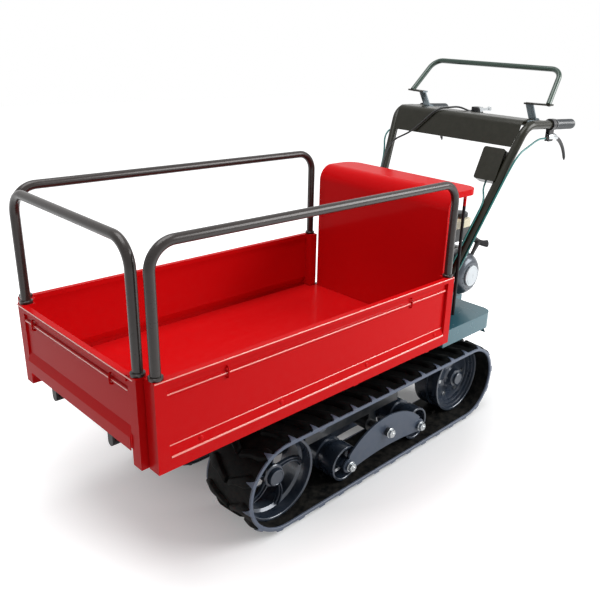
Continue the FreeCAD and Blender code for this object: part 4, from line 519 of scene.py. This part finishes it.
def bent_line(corners, radius):
    """Centre line through the corners: straights joined by arcs of one radius.

    At a corner the arc starts radius / tan(half the inside angle) before it.
    """
    corners = np.array(corners, float)
    line = [corners[:1]]
    for before, corner, after in zip(corners, corners[1:], corners[2:]):
        back = (before - corner) / np.linalg.norm(before - corner)
        forth = (after - corner) / np.linalg.norm(after - corner)
        half = math.acos(float(back @ forth)) / 2
        reach = radius / math.tan(half)
        middle = back + forth
        middle /= np.linalg.norm(middle)
        centre = corner + middle * radius / math.sin(half)
        first, last = corner + back * reach, corner + forth * reach
        count = max(6, int(radius * (math.pi - 2 * half) / ARC_STEP))
        share = np.linspace(0, 1, count)[:, None]
        sweep = math.pi - 2 * half
        a, b = (first - centre) / radius, (last - centre) / radius
        line.append(centre + radius * (np.sin((1 - share) * sweep) * a
                                       + np.sin(share * sweep) * b) / math.sin(sweep))
    line.append(corners[-1:])
    return np.concatenate(line)


def tube(name, line, radius, sides=48):
    """Circle of the given radius (one number or one per point) round a plane line."""
    way = np.gradient(line, axis=0)
    way /= np.linalg.norm(way, axis=1, keepdims=True)
    flat = np.cross(line[-1] - line[0], line[len(line) // 2] - line[0])
    if np.linalg.norm(flat) < 1e-9:
        flat = np.cross(line[-1] - line[0], [0.31, 0.44, 0.84])
    flat /= np.linalg.norm(flat)
    side = np.cross(way, flat)
    angle = np.linspace(0, 2 * math.pi, sides, endpoint=False)
    radius = np.broadcast_to(np.asarray(radius, float), (len(line),))[:, None, None]
    circle = (np.cos(angle)[None, :, None] * side[:, None]
              + np.sin(angle)[None, :, None] * flat[None, None])
    return surface(name, line[:, None] + circle * radius, False, True, True, 40)


# %% [markdown]
# Rails, handle tubes, cross bar and travel loop are made again from their own centre lines.
# Flat caps close their hidden ends. Each foot of a rail wears a ring that rests on its column.

# %% Guard rails
def add_tube(node, body, lines, radius):
    """Tubes along centre lines in place of one CAD node, in that node's finish."""
    made = [tube(f"{node}_tube_{number}", line, radius) for number, line in enumerate(lines)]
    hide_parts(node)
    for piece in made:
        finish_piece(piece, slot_of[node], body)


RAIL_TUBE, RAIL_BEND, COLLAR = 0.01085, 0.055, 0.015
panel_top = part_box("left_side_panel")[1].z
rail_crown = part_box("left_guard_rail")[1].z - RAIL_TUBE


def guard_rail(word, along):
    """A hoop across x or y (along is 0 or 1), with a ring round each of its two feet."""
    low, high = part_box(word + "_guard_rail")
    feet = []
    for far in (low[along] + COLLAR, high[along] - COLLAR):
        foot = (low + high) / 2
        foot[along] = far
        feet.append((foot.x, foot.y))
    corners = [(*feet[0], low.z), (*feet[0], rail_crown), (*feet[1], rail_crown),
               (*feet[1], low.z)]
    add_tube(word + "_guard_rail", word + "_rail", [bent_line(corners, RAIL_BEND)], RAIL_TUBE)
    for x, y in feet:
        line = np.array([(x, y, panel_top + z * mm) for z in (0.2, 1.2, 6.8, 8.0)])
        collar = tube(word + "_rail_collar", line, [0.0142, COLLAR, COLLAR, 0.0136])
        finish_piece(collar, "rail_paint", word + "_rail")


for word, along in (("left", 0), ("right", 0), ("front", 1)):
    guard_rail(word, along)
print("three guard rails, crown at", round(rail_crown, 4), "m")

# %% [markdown]
# Two tubes rise from the base and turn level at the elbow, joined by a cross bar. A rubber
# sleeve covers each end: a flange, fine rings for the hand, and a round nose. The rings are a
# sine along the sleeve, which is simpler than cutting grooves.

# %% Handle, grips, cross bar and loop
bar_low, bar_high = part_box("cross_bar")
grip_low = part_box("grips")[0]
HANDLE_TUBE, HANDLE_BEND = 0.0136, 0.058
GRIP_LENGTH = 0.1205
handle_foot, elbow = (-0.2615, 0.162, 0.372), (-0.5385, 0.255, 0.950)
handle_end = (grip_low.x + 0.003, 0.260, 0.941)


def grip_sleeve(end, way):
    """Radius along the sleeve: a flange, rings of 16 + 0.35 x sin(2.1 s) mm, a round nose."""
    station = np.array([0, 0.4, 3, 5, 6, *np.arange(8, 116, 1.5), 118, 121, 123, 123.8])
    swell = np.where((station > 7) & (station < 116), 16.0 + 0.35 * np.sin(station * 2.1), 16.2)
    swell[:5] = [16.4, 17.6, 17.8, 17.4, 16.2]
    swell[-3:] = [15.2, 12.5, 10.0]
    line = end - way * GRIP_LENGTH + way * station[:, None] * mm
    return tube("grip_sleeve", line, swell * mm)


handle_lines, grip_pieces = [], []
for side in WORD:
    corners = np.array([handle_foot, elbow, handle_end]) * (1, side, 1)
    handle_lines.append(bent_line(corners, HANDLE_BEND))
    way = (corners[2] - corners[1]) / np.linalg.norm(corners[2] - corners[1])
    grip_pieces.append(grip_sleeve(corners[2], way))
add_tube("handle_tubes", "chassis", handle_lines, HANDLE_TUBE)
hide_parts("grips")
for piece in grip_pieces:
    finish_piece(piece, "grip_rubber", "chassis")

bar_x, bar_z = (bar_low.x + bar_high.x) / 2, (bar_low.z + bar_high.z) / 2
bar_line = np.linspace((bar_x, bar_low.y + 0.002, bar_z), (bar_x, bar_high.y - 0.002, bar_z), 5)
add_tube("cross_bar", "chassis", [bar_line], (bar_high.z - bar_low.z) / 2)

LOOP_TUBE, LOOP_BEND = 0.0085, 0.042
loop_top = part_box("loop_bar")[1].z - LOOP_TUBE
loop_half = np.array([(-0.6285, 0.270, 1.010), (-0.7225, 0.250, loop_top)])
loop_corners = [*loop_half, *(loop_half[::-1] * (1, -1, 1))]
add_tube("loop_bar", "travel_loop", [bent_line(loop_corners, LOOP_BEND)], LOOP_TUBE)
print("handle tubes, two grips, cross bar and travel loop")

# %% [markdown]
# The wheels are turned shapes: a row of radii and depths carried round the axle. The front
# wheel has a rolled lip, five curved spokes with a rib along each, and a stepped cap. The
# driven wheel is a deep dish with steps, bolted to its hub.

# %% Turned shapes, spokes and bolts
def centre_of(node):
    """The axle of a wheel, as x and z."""
    low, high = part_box(node)
    return ((low.x + high.x) / 2, (low.z + high.z) / 2)


def turned(name, stations, centre, side=1, closed=False, sides=96):
    """Stations (radius, distance along y) carried round an axle.

    x = centre x + radius x cos(angle), z = centre z + radius x sin(angle).
    """
    stations = np.array(stations, float) * mm
    angle = np.linspace(0, 2 * math.pi, sides, endpoint=False)
    points = np.stack([centre[0] + stations[:, :1] * np.cos(angle),
                       side * (stations[:, 1:] + 0 * angle),
                       centre[1] + stations[:, :1] * np.sin(angle)], axis=-1)
    return surface(name, points, closed, True, not closed, 28)


SPOKES, SWOOP = 5, 0.42


def spokes(name, centre, side):
    """Each spoke: angle = base + swoop x share^2, wide at the hub and flared at the rim."""
    share = np.linspace(0, 1, 14)
    radius = 24 + 78 * share
    half = 9.5 - 8 * share * (1 - share) * 2 + 4.5 * share ** 3
    across = np.array([-1, -1, -0.82, -0.34, -0.2, 0.2, 0.34, 0.82, 1, 1])
    level = np.array([203, 209.5, 211.5, 212, 217.5, 217.5, 212, 211.5, 209.5, 203])
    base = np.arange(SPOKES)[:, None, None] * 2 * math.pi / SPOKES + 0.32
    angle = base + SWOOP * share[None, :, None] ** 2
    sway = half[None, :, None] * across[None, None, :]
    x = centre[0] + (radius[None, :, None] * np.cos(angle) - sway * np.sin(angle)) * mm
    z = centre[1] + (radius[None, :, None] * np.sin(angle) + sway * np.cos(angle)) * mm
    y = side * level[None, None, :] * mm + 0 * x
    return surface(name, np.stack([x, y, z], -1), False, True, True, 35)


def hexagon(name, x, y, z, flat, thick, side, body):
    """A bolt head: a six-sided prism with a chamfered outer face."""
    corner = flat / math.sqrt(3)
    angle = np.arange(6) * math.pi / 3 + 0.2
    steps = [(corner, 0), (corner, thick * 0.75), (corner * 0.88, thick)]
    points = np.array([[(x + r * math.cos(a), side * (y + d), z + r * math.sin(a))
                        for a in angle] for r, d in steps])
    return finish_piece(surface(name, points, False, True, True, 20), "zinc", body)


WASHER, THREAD = 15, 5.2
NUT_FLAT, NUT_THICK, NUT_FOOT = 0.022, 0.0095, 0.0019


def bolt(name, x, y, z, side, body):
    """Washer, hexagon and the end of the thread, in bright zinc."""
    centre, face = (x, z), y / mm
    parts = [turned(name + "_washer", [(WASHER - 0.6, face), (WASHER, face + 0.4),
                                       (WASHER, face + 1.4), (WASHER - 0.6, face + 1.9)],
                    centre, side, False, 48),
             turned(name + "_thread", [(THREAD, face + 9), (THREAD, face + 12.6),
                                       (THREAD - 0.8, face + 13.4)], centre, side, False, 24)]
    for piece in parts:
        finish_piece(piece, "zinc", body)
    hexagon(name + "_nut", x, y + NUT_FOOT, z, NUT_FLAT, NUT_THICK, side, body)


# %% Wheels
HUB_BOLTS, HUB_CIRCLE, HUB_FACE = 6, 0.0625, 0.1955
ROLLER_END, PIVOT_END = 0.2690, 0.2755
pivot = (0.047, 0.115)
for side, word in WORD.items():
    centre = centre_of(word + "_idler_wheel")
    body = word + "_idler"
    rim = turned(word + "_idler_rim", [
        (113.3, 136), (113.3, 180), (105.5, 181.5), (105.5, 203.5), (113.3, 205),
        (113.3, 243.4), (112.2, 244.9), (107, 244.9), (105.4, 243.6), (104.7, 240),
        (104.2, 214), (101, 211), (97.2, 208), (97.2, 178), (104.4, 176), (104.4, 137.2),
        (105.6, 136)], centre, side, True)
    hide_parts(word + "_idler_wheel")
    hub = turned(word + "_idler_hub", [
        (20, 139), (24, 141), (26, 196), (27.5, 216), (30.5, 219), (31, 221.5), (29, 223.5),
        (24.5, 224.5), (23.5, 232), (22, 235.5), (18.5, 236.5), (17.5, 235.4), (9, 235.2)],
        centre, side)
    for piece in (rim, hub, spokes(word + "_idler_spokes", centre, side)):
        finish_piece(piece, "wheel_paint", body)

    centre = centre_of(word + "_drive_sprocket")
    body = word + "_sprocket"
    dish = turned(word + "_sprocket_dish", [
        (14.5, 36), (14.5, 135), (27, 136), (28, 184), (74, 186), (88, 181), (104.4, 177),
        (104.4, 137), (105.6, 135.6), (113.3, 135.6), (113.3, 180.5), (105.5, 182),
        (105.5, 203), (113.3, 204.5), (113.3, 224.4), (112.2, 225.9), (107, 225.9),
        (105.2, 224.4), (103.5, 216.5), (96, 215), (94.5, 208.5), (86, 206.5), (84.5, 200.5),
        (77, 197.5), (50, 196), (38, 198.5), (32, 205), (30, 219.5), (28, 222), (20.5, 222.6),
        (20, 229.5), (18, 231), (7, 231)], centre, side)
    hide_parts(word + "_drive_sprocket")
    finish_piece(dish, "wheel_paint", body)
    for number in range(HUB_BOLTS):
        angle = number * 2 * math.pi / HUB_BOLTS
        x = centre[0] + HUB_CIRCLE * math.cos(angle)
        z = centre[1] + HUB_CIRCLE * math.sin(angle)
        hexagon(word + "_hub_bolt", x, HUB_FACE, z, 0.013, 0.006, side, body)

    for place in ("front", "rear"):
        node = f"{word}_{place}_roller"
        centre = centre_of(node)
        roller = turned(node + "_turned", [
            (14, 135.2), (16, 136), (16.5, 171), (38, 173), (44.5, 169), (44.8, 136.6),
            (46, 135.5), (51.8, 135.5), (51.8, 179.8), (44.5, 181), (44.5, 203.5),
            (51.8, 205), (51.8, 248.6), (50.8, 249.9), (46, 249.9), (44.6, 248.4),
            (44, 215), (38, 211), (24, 210), (19, 214), (16.5, 247), (15.5, 249.8),
            (13, 249.8)], centre, side)
        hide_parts(node)
        body = f"{word}_roller_{place}"
        finish_piece(roller, "wheel_paint", body)
        bolt(node + "_bolt", centre[0], ROLLER_END, centre[1], side, word + "_rocker")
    bolt(word + "_pivot_bolt", pivot[0], PIVOT_END, pivot[1], side, "chassis")
print("eight wheels with", 2 * HUB_BOLTS, "hub bolts and six axle nuts")

# %% [markdown]
# The engine's visible face is turned too: the recoil housing with its slots, the pale disc
# with its groove, and the grip of the starter, a curved bar that flares at both ends.

# %% Recoil starter
crank = centre_of("recoil_disc")
housing = turned("recoil_housing_turned", [
    (60, 148.2), (68, 148.2), (69, 149.5), (69, 176), (68, 178.5), (64, 186), (62.5, 187),
    (60, 191), (54, 197.5), (50, 199.5), (46, 201.2), (38, 201.8), (30, 201.9)], crank)
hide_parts("recoil_housing")
finish_piece(housing, "starter_grey", "chassis")
disc = turned("recoil_disc_turned", [
    (33, 202), (34, 202.6), (34, 206.4), (33.2, 207.4), (29, 207.8), (28.4, 207.2),
    (27, 207.2), (26.4, 207.8), (7, 207.9), (6.6, 207.2), (2.5, 207.2)], crank)
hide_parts("recoil_disc")
finish_piece(disc, "disc_white", "chassis")
SLOTS, SLOT_HALF = 16, 2.6
steps = np.arange(SLOTS)[:, None, None] * 2 * math.pi / SLOTS
reach = np.array([44.0, 66.5])[None, :, None]
cross = np.array([-1, 1, 1, -1])[None, None, :] * SLOT_HALF
depth = np.where(reach < 50, 201.9, 180.9) + np.array([-2.6, -2.6, 0.5, 0.5])[None, None, :]
slot_x = crank[0] + (reach * np.cos(steps) - cross * np.sin(steps)) * mm
slot_z = crank[1] + (reach * np.sin(steps) + cross * np.cos(steps)) * mm
slots = surface("recoil_slots", np.stack([slot_x, depth * mm + 0 * slot_x, slot_z], -1),
                False, True, True)
finish_piece(slots, "black_plastic", "chassis")

starter_low, starter_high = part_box("starter_grip")
NECK_FOOT, NECK_LENGTH, BAR_LEVEL, BAR_HALF = 0.0693, 0.049, 0.053, 0.032
pull = np.array([-0.6198, 0, 0.7848])
bar_way = np.array([-0.5042, 0.7664, -0.3983])
hub = np.array([crank[0], (starter_low.y + starter_high.y) / 2, crank[1]])
start = hub + pull * NECK_FOOT
share = np.linspace(-1, 1, 33)
line = (start + pull * BAR_LEVEL + bar_way * (share * BAR_HALF)[:, None]
        + pull * (0.010 * share ** 2 - 0.003)[:, None])
thick = 0.0090 + 0.0042 * share ** 2
thick[[0, -1]] = 0.0080
thick[[1, -2]] = 0.0118
bar = tube("starter_bar", line, thick, 32)
neck_share = np.linspace(0, 1, 14)
neck = tube("starter_neck", start + pull * (neck_share * NECK_LENGTH)[:, None],
            0.0062 + 0.0045 * neck_share ** 3, 32)
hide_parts("starter_grip")
for piece in (bar, neck):
    finish_piece(piece, "black_plastic", "starter")
print("recoil starter with", SLOTS, "slots")

# %% [markdown]
# Each clutch lever is a blade on a circle under the grip: a bright cast body at the pin,
# then a dark coated blade that thins towards its rounded tip.

# %% Clutch levers
LEVER_RADIUS = 0.1305
for side, word in WORD.items():
    pin = np.array([-0.6875, side * 0.25758, 0.90336])
    bend_at = pin + np.array([-0.008, 0, -0.126])
    for title, first, last in (("body", -0.16, 0.34), ("blade", 0.30, 1.235)):
        arc = np.linspace(first, last, 24)
        line = bend_at + LEVER_RADIUS * np.stack([-np.sin(arc), 0 * arc, np.cos(arc)], -1)
        share = (arc - first) / (last - first)
        if title == "body":
            size = 0.0088 + 0.0034 * np.sin(share * math.pi) - 0.002 * share
        else:
            size = 0.0068 - 0.0020 * share
            size[-2:] = [0.0036, 0.0018]
        size[0] *= 0.6
        piece = tube(f"{word}_lever_{title}", line, size, 28)
        finish_piece(piece, "zinc" if title == "body" else "black_plastic", word + "_lever")
    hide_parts(word + "_clutch_lever")
print("two clutch levers on arcs of", LEVER_RADIUS, "m")

# %% [markdown]
# Hooks of bent wire hold a rope, and domed rivets stud the sloped band. A dome is a tube
# whose radius shrinks as a cosine while it rises as a sine, so one function makes both.

# %% Panel hooks and rivets
def rope_hook(x, y, out, body):
    """Bent wire: out of the face by 6 mm along (x, y) = out, down, and back in."""
    stations = ((0, 0.531), (0.006, 0.5295), (0.006, 0.5065), (0, 0.505))
    corners = [(x + out[0] * reach, y + out[1] * reach, z) for reach, z in stations]
    finish_piece(tube("rope_hook", bent_line(corners, 0.003), 0.0022, 16), "red_paint", body)


SIDE_HOOKS, SIDE_RIVETS = (0.6325, 0.0235), (0.7045, 0.4845, 0.1945, -0.0955)
for side, word in WORD.items():
    for x in SIDE_HOOKS:
        rope_hook(x, side * 0.2915, (0, side), word + "_gate")
    for x in SIDE_RIVETS:
        share = np.linspace(0, math.pi / 2, 8)
        normal = np.array([0, side * 0.94, 0.342])
        spot = np.array([x, side * 0.2955, 0.3915])
        line = spot + normal * (0.0028 * np.sin(share) - 0.0004)[:, None]
        size = np.maximum(0.0062 * np.cos(share), 0.0004)
        finish_piece(tube("panel_rivet", line, size, 24), "red_paint", word + "_gate")
print(2 * len(SIDE_HOOKS), "side hooks,", 2 * len(SIDE_RIVETS), "rivets")

# %% [markdown]
# The pale tank sits in a dark tray, a thin wall that follows the tank's rounded outline. Its
# cap is knurled: the flutes are a square wave round the edge, lighter than cutting each one.

# %% Tank cradle and fuel cap
TANK_CORNER, CRADLE_HEIGHT = 0.018, 0.040
tank_low, tank_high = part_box("fuel_tank")
cap_low, cap_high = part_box("fuel_cap")


def rounded_ring(low, high, grow, radius, z):
    """Points round a rectangle with rounded corners: corner centre + radius x direction."""
    centres = [(high.x, high.y), (low.x, high.y), (low.x, low.y), (high.x, low.y)]
    signs = [(-1, -1), (1, -1), (1, 1), (-1, 1)]
    points = []
    for quarter, ((x, y), (sx, sy)) in enumerate(zip(centres, signs)):
        for angle in np.linspace(quarter, quarter + 1, 9) * math.pi / 2:
            points.append((x + sx * radius + (radius + grow) * math.cos(angle),
                           y + sy * radius + (radius + grow) * math.sin(angle), z))
    return points


tank_floor, cradle_top = tank_low.z, tank_low.z + CRADLE_HEIGHT
rows = [rounded_ring(tank_low, tank_high, grow, TANK_CORNER, z) for grow, z in
        ((-0.004, tank_floor - 0.0006), (0.0007, tank_floor - 0.0004), (0.0007, cradle_top),
         (-0.0003, cradle_top + 0.0006))]
finish_piece(surface("tank_cradle", np.array(rows), False, True), "black_plastic", "chassis")

turns = np.linspace(0, 2 * math.pi, 144, endpoint=False)
cap_radius = (cap_high.x - cap_low.x) / 2
cap_x, cap_y = (cap_low.x + cap_high.x) / 2, (cap_low.y + cap_high.y) / 2
rows = []
for z, share, flute in ((cap_low.z, 0.94, 0), (cap_low.z + 0.002, 0.985, 1),
                        (cap_high.z - 0.003, 0.985, 1), (cap_high.z - 0.0006, 0.90, 0),
                        (cap_high.z, 0.80, 0)):
    reach = cap_radius * (share + 0.015 * flute * np.sign(np.cos(turns * 24)))
    rows.append(np.stack([cap_x + reach * np.cos(turns), cap_y + reach * np.sin(turns),
                          z + 0 * turns], -1))
knurled = surface("fuel_cap_knurled", np.array(rows), False, True, True)
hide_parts("fuel_cap")
finish_piece(knurled, "black_plastic", "filler_cap")
print("tank cradle", CRADLE_HEIGHT, "m high, and a knurled cap")

# %% [markdown]
# Two thin rods hold up the rear edge of the cover. They are black, with a red end under the
# cover's lip, so each is made as two short tubes, one for each colour.

# %% Cover stays
PAINTED_END = 0.060
stay_low, stay_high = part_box("cover_stays")
stay_x, stay_radius = (stay_low.x + stay_high.x) / 2, (stay_high.x - stay_low.x) / 2
painted = stay_high.z - PAINTED_END
stay_pieces = []
for y in (stay_high.y - stay_radius, stay_low.y + stay_radius):
    for first, last, finish in ((stay_low.z, painted, "black_rod"),
                                (painted, stay_high.z, "red_paint")):
        line = np.linspace((stay_x, y, first), (stay_x, y, last), 4)
        stay = tube("cover_stay", line, stay_radius, 24)
        stay.data.materials.append(finishes[finish])
        stay_pieces.append(stay)
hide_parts("cover_stays")
for stay in stay_pieces:
    finish_piece(stay, slot_of["cover_stays"], "chassis")
print(len(stay_pieces) // 2, "cover stays")

# %% [markdown]
# Where sheet steel is folded, the paint catches the light in a thin bright line. The folds of
# the pressing are too small to show it at this size, so a low half-round bead follows each
# one, in a lighter red that is a painted highlight along the fold.

# %% Panel folds
# The lighter red of the beads is a painted highlight: the light that a fold catches.
fold_highlight_paint = finish_of("Painted highlight on a fold", srgb(240, 128, 114), 0.16, coat=1.0, tone=0.03,
                       dust=0.0, wave=0.0, grain=0.0, bump=0.0, specular=0.6)
panel_low, panel_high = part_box("left_side_panel")
gate_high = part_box("front_panel")[1]
front_face = gate_high.x


def fold_bead(name, start, end, out, radius, body):
    """Half-round bead on a face: foot + 0.6 radius cos(a) outwards + radius sin(a) upwards."""
    angle = np.linspace(-math.pi / 2, math.pi / 2, 9)
    foot = np.linspace(start, end, 5)[:, None]
    points = foot + np.array(out) * (0.6 * radius * np.cos(angle))[:, None] \
        + np.array((0, 0, 1)) * (radius * np.sin(angle))[:, None]
    fold = surface(name, points, False, True, True, 60)
    # The bead wears the painted highlight.
    fold.data.materials.append(fold_highlight_paint)
    return finish_piece(fold, "red_paint", body)


ends = (panel_low.x + 0.030, panel_high.x - 0.030)
side_folds = [("hem", 0.2999, panel_high.z - 0.0020, 0.0016, panel_low.x + 0.001,
               panel_high.x - 0.001), ("bead", 0.2950, 0.5170, 0.0016, *ends),
              ("slope_top", 0.2920, 0.4010, 0.0014, *ends),
              ("slope_foot", 0.2998, 0.3790, 0.0026, *ends)]
for side, word in WORD.items():
    for title, y, z, radius, first, last in side_folds:
        fold_bead(f"{word}_{title}_fold", (first, side * y, z), (last, side * y, z),
                  (0, side, 0), radius, word + "_gate")
for title, x, z, reach in (("hem", front_face - 0.0001, gate_high.z - 0.0020, 0.2580),
                           ("bead", front_face - 0.0050, 0.5170, 0.2290)):
    fold_bead(f"front_{title}_fold", (x, -reach, z), (x, reach, z), (1, 0, 0), 0.0015,
              "front_gate")
for y in (0.163, -0.189):
    rope_hook(front_face - 0.0085, y, (1, 0), "front_gate")
print(2 * len(side_folds) + 2, "fold beads, and two hooks on the front gate")

# %% [markdown]
# The crawler belt is a moulded rubber loop. Its band is one profile, a flat strip with
# rounded shoulders, carried round the track's path. The lugs are also a profile, a bar with
# sloping sides, carried along each arm of a shallow V; because both use the same path
# function, the lugs bend with the belt where it turns round the wheels.

# %% Track path
belt_low, belt_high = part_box("left_track_belt")
lug_height = 0.010
axle_height = belt_high.z / 2
belt_radius = axle_height - lug_height
idler_x = belt_high.x - axle_height
sprocket_x = belt_low.x + axle_height
run = idler_x - sprocket_x
bend = math.pi * belt_radius
loop_length = 2 * (run + bend)
print("belt loop", round(loop_length, 4), "m round wheels", round(run, 4), "m apart")


def on_belt(distance, height, across):
    """Path of the belt's outer face: straight, half circle, straight, half circle.

    point = foot(distance) + height x normal(distance), shifted across along y.
    """
    s = np.mod(distance, loop_length)
    rear = (s - run) / belt_radius
    front = (s - 2 * run - bend) / belt_radius
    stretch = [s < run, s < run + bend, s < 2 * run + bend]
    normal_x = np.select(stretch, [0 * s, -np.sin(rear), 0 * s], np.sin(front))
    normal_z = np.select(stretch, [0 * s + 1, np.cos(rear), 0 * s - 1], -np.cos(front))
    centre_x = np.select(stretch, [idler_x - s, 0 * s + sprocket_x,
                                   sprocket_x + s - run - bend], 0 * s + idler_x)
    reach = belt_radius + height
    return np.stack([centre_x + normal_x * reach, across + 0 * s,
                     axle_height + normal_z * reach], axis=-1)


# %% [markdown]
# The band and its two lips are closed profiles carried once round that path. Lugs, worn tips
# with a painted highlight, and guide horns are short blocks at even steps of distance, a whole
# set in one array.

# %% Track belts
LUGS, PATH_STEPS = 32, 220
lug_places = np.arange(LUGS) * loop_length / LUGS


def around_path(name, across, height, side):
    """One closed profile (across, height) carried round the whole path."""
    distance = np.linspace(0, loop_length, PATH_STEPS, endpoint=False)
    across, height = np.array(across), np.array(height)
    points = on_belt(distance[:, None] + 0 * across[None], height[None] + 0 * distance[:, None],
                     side * across[None])
    return surface(name, points, True, True)


def belt_band(side):
    """Strip profile: |y| from the inner to the outer edge with rounded shoulders."""
    inner, outer = belt_low.y, belt_high.y - 0.002
    thick, shoulder = 0.008, 0.004
    across = [inner + shoulder, outer - shoulder, outer - 0.001, outer, outer, outer - 0.0015,
              inner + 0.0015, inner, inner, inner + 0.001]
    height = [0, 0, -0.0012, -0.0035, -0.0065, -thick, -thick, -0.0065, -0.0035, -0.0012]
    return around_path(WORD[side] + "_belt_band", across, height, side)


def belt_lip(side, edge, way):
    """A rounded bead along one edge of the band; way is +1 outwards, -1 inwards."""
    across = [edge - way * far for far in (0.0062, 0.0048, 0.0018, 0.0004, 0, 0.0002, 0.0014,
                                           0.0048, 0.0062)]
    height = [-0.0005, 0.0010, 0.0012, 0.0002, -0.0020, -0.0070, -0.0084, -0.0088, -0.0080]
    return around_path(WORD[side] + "_belt_lip", across, height, side)


def belt_lugs(side):
    """Each arm: y = edge to middle; shift = start - sweep x share^1.6, wide near the edge.

    The section is a bar with sloping sides, low at the edge and full height inside.
    """
    inner, outer = belt_low.y, belt_high.y
    middle = (inner + outer) / 2
    share = np.array([0.0, 0.03, 0.10, 0.20, 0.32, 0.45, 0.60, 0.78, 0.96, 1.0])
    swell = np.array([0.45, 0.55, 0.95, 1.55, 1.75, 1.5, 1.15, 1.0, 1.0, 0.85])
    tall = np.array([0.25, 0.34, 0.50, 0.76, 1.0, 1.0, 1.0, 1.0, 1.0, 0.85])
    section = np.linspace(0, 1, 8)
    shift = np.array([-0.0115, -0.0105, -0.0075, -0.0055, 0.0055, 0.0075, 0.0105, 0.0115])
    rise = np.array([-0.0015, 0.003, 0.0088, 0.0099, 0.0099, 0.0088, 0.003, -0.0015])
    place = lug_places[:, None, None, None]
    edges = np.array([[outer - 0.0008, middle + 0.006], [inner + 0.0008, middle - 0.006]])
    across = edges[:, :1] + (edges[:, 1:] - edges[:, :1]) * share[None]
    across = across[None, :, :, None] + 0 * section
    sweep = (0.014 - 0.030 * share ** 1.6)[None, None, :, None]
    distance = place + sweep + shift * swell[None, None, :, None] + 0 * across
    height = np.where(rise > 0, rise * tall[None, None, :, None], rise) + 0 * distance
    points = on_belt(distance, height, side * (across + 0 * distance))
    return surface(WORD[side] + "_belt_lugs", points, False, True, True)


def lug_tips(side):
    """Worn outer end of each lug with a painted highlight: a small wedge, wide at the edge and
    sharp inwards.
    """
    outer = belt_high.y
    far = np.array([0.0002, 0.004, 0.012, 0.020])
    half = np.array([0.0130, 0.0095, 0.0042, 0.0012])
    crown = np.array([0.0040, 0.0064, 0.0090, 0.0099])
    corner = np.array([-1, -0.7, 0.7, 1.0])
    top = np.array([0, 1, 1, 0])
    place = (lug_places + 0.013)[:, None, None]
    distance = place + corner * half[:, None] - 0.0015 * far[:, None] / 0.02
    height = (-0.001 + (crown[:, None] + 0.001) * top)[None] + 0 * distance
    across = (outer - far)[None, :, None] + 0 * distance
    points = on_belt(distance, height, side * across)
    return surface(WORD[side] + "_lug_tips", points, False, True, True)


def guide_horns(side):
    """Blunt teeth inside the belt: a closed ring of eight points that narrows inwards."""
    middle = (belt_low.y + belt_high.y) / 2
    corner = np.array([[-1, -1], [0, -1.05], [1, -1], [1.05, 0], [1, 1], [0, 1.05], [-1, 1],
                       [-1.05, 0]])
    level = np.array([-0.0075, -0.010, -0.0135, -0.0148])
    size = np.array([1.0, 0.9, 0.7, 0.45])
    place = lug_places[:, None, None]
    distance = place + corner[None, None, :, 0] * 0.011 * size[None, :, None]
    across = middle + corner[None, None, :, 1] * 0.005 * size[None, :, None] + 0 * distance
    height = level[None, :, None] + 0 * distance
    points = on_belt(distance, height, side * across)
    return surface(WORD[side] + "_guide_horns", points, False, True, True)


for side, word in WORD.items():
    band = belt_band(side)
    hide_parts(word + "_track_belt")
    for piece in (band, belt_lugs(side), guide_horns(side)):
        finish_piece(piece, "track_rubber", "chassis")
    # The lips and lug tips take the lighter rubber: wear and a painted highlight.
    for piece in (belt_lip(side, belt_high.y, 1), belt_lip(side, belt_low.y, -1),
                  lug_tips(side)):
        piece.data.materials.append(worn_and_highlit_rubber)
        finish_piece(piece, "track_rubber", "chassis")
print("two belts with", LUGS, "lugs each")
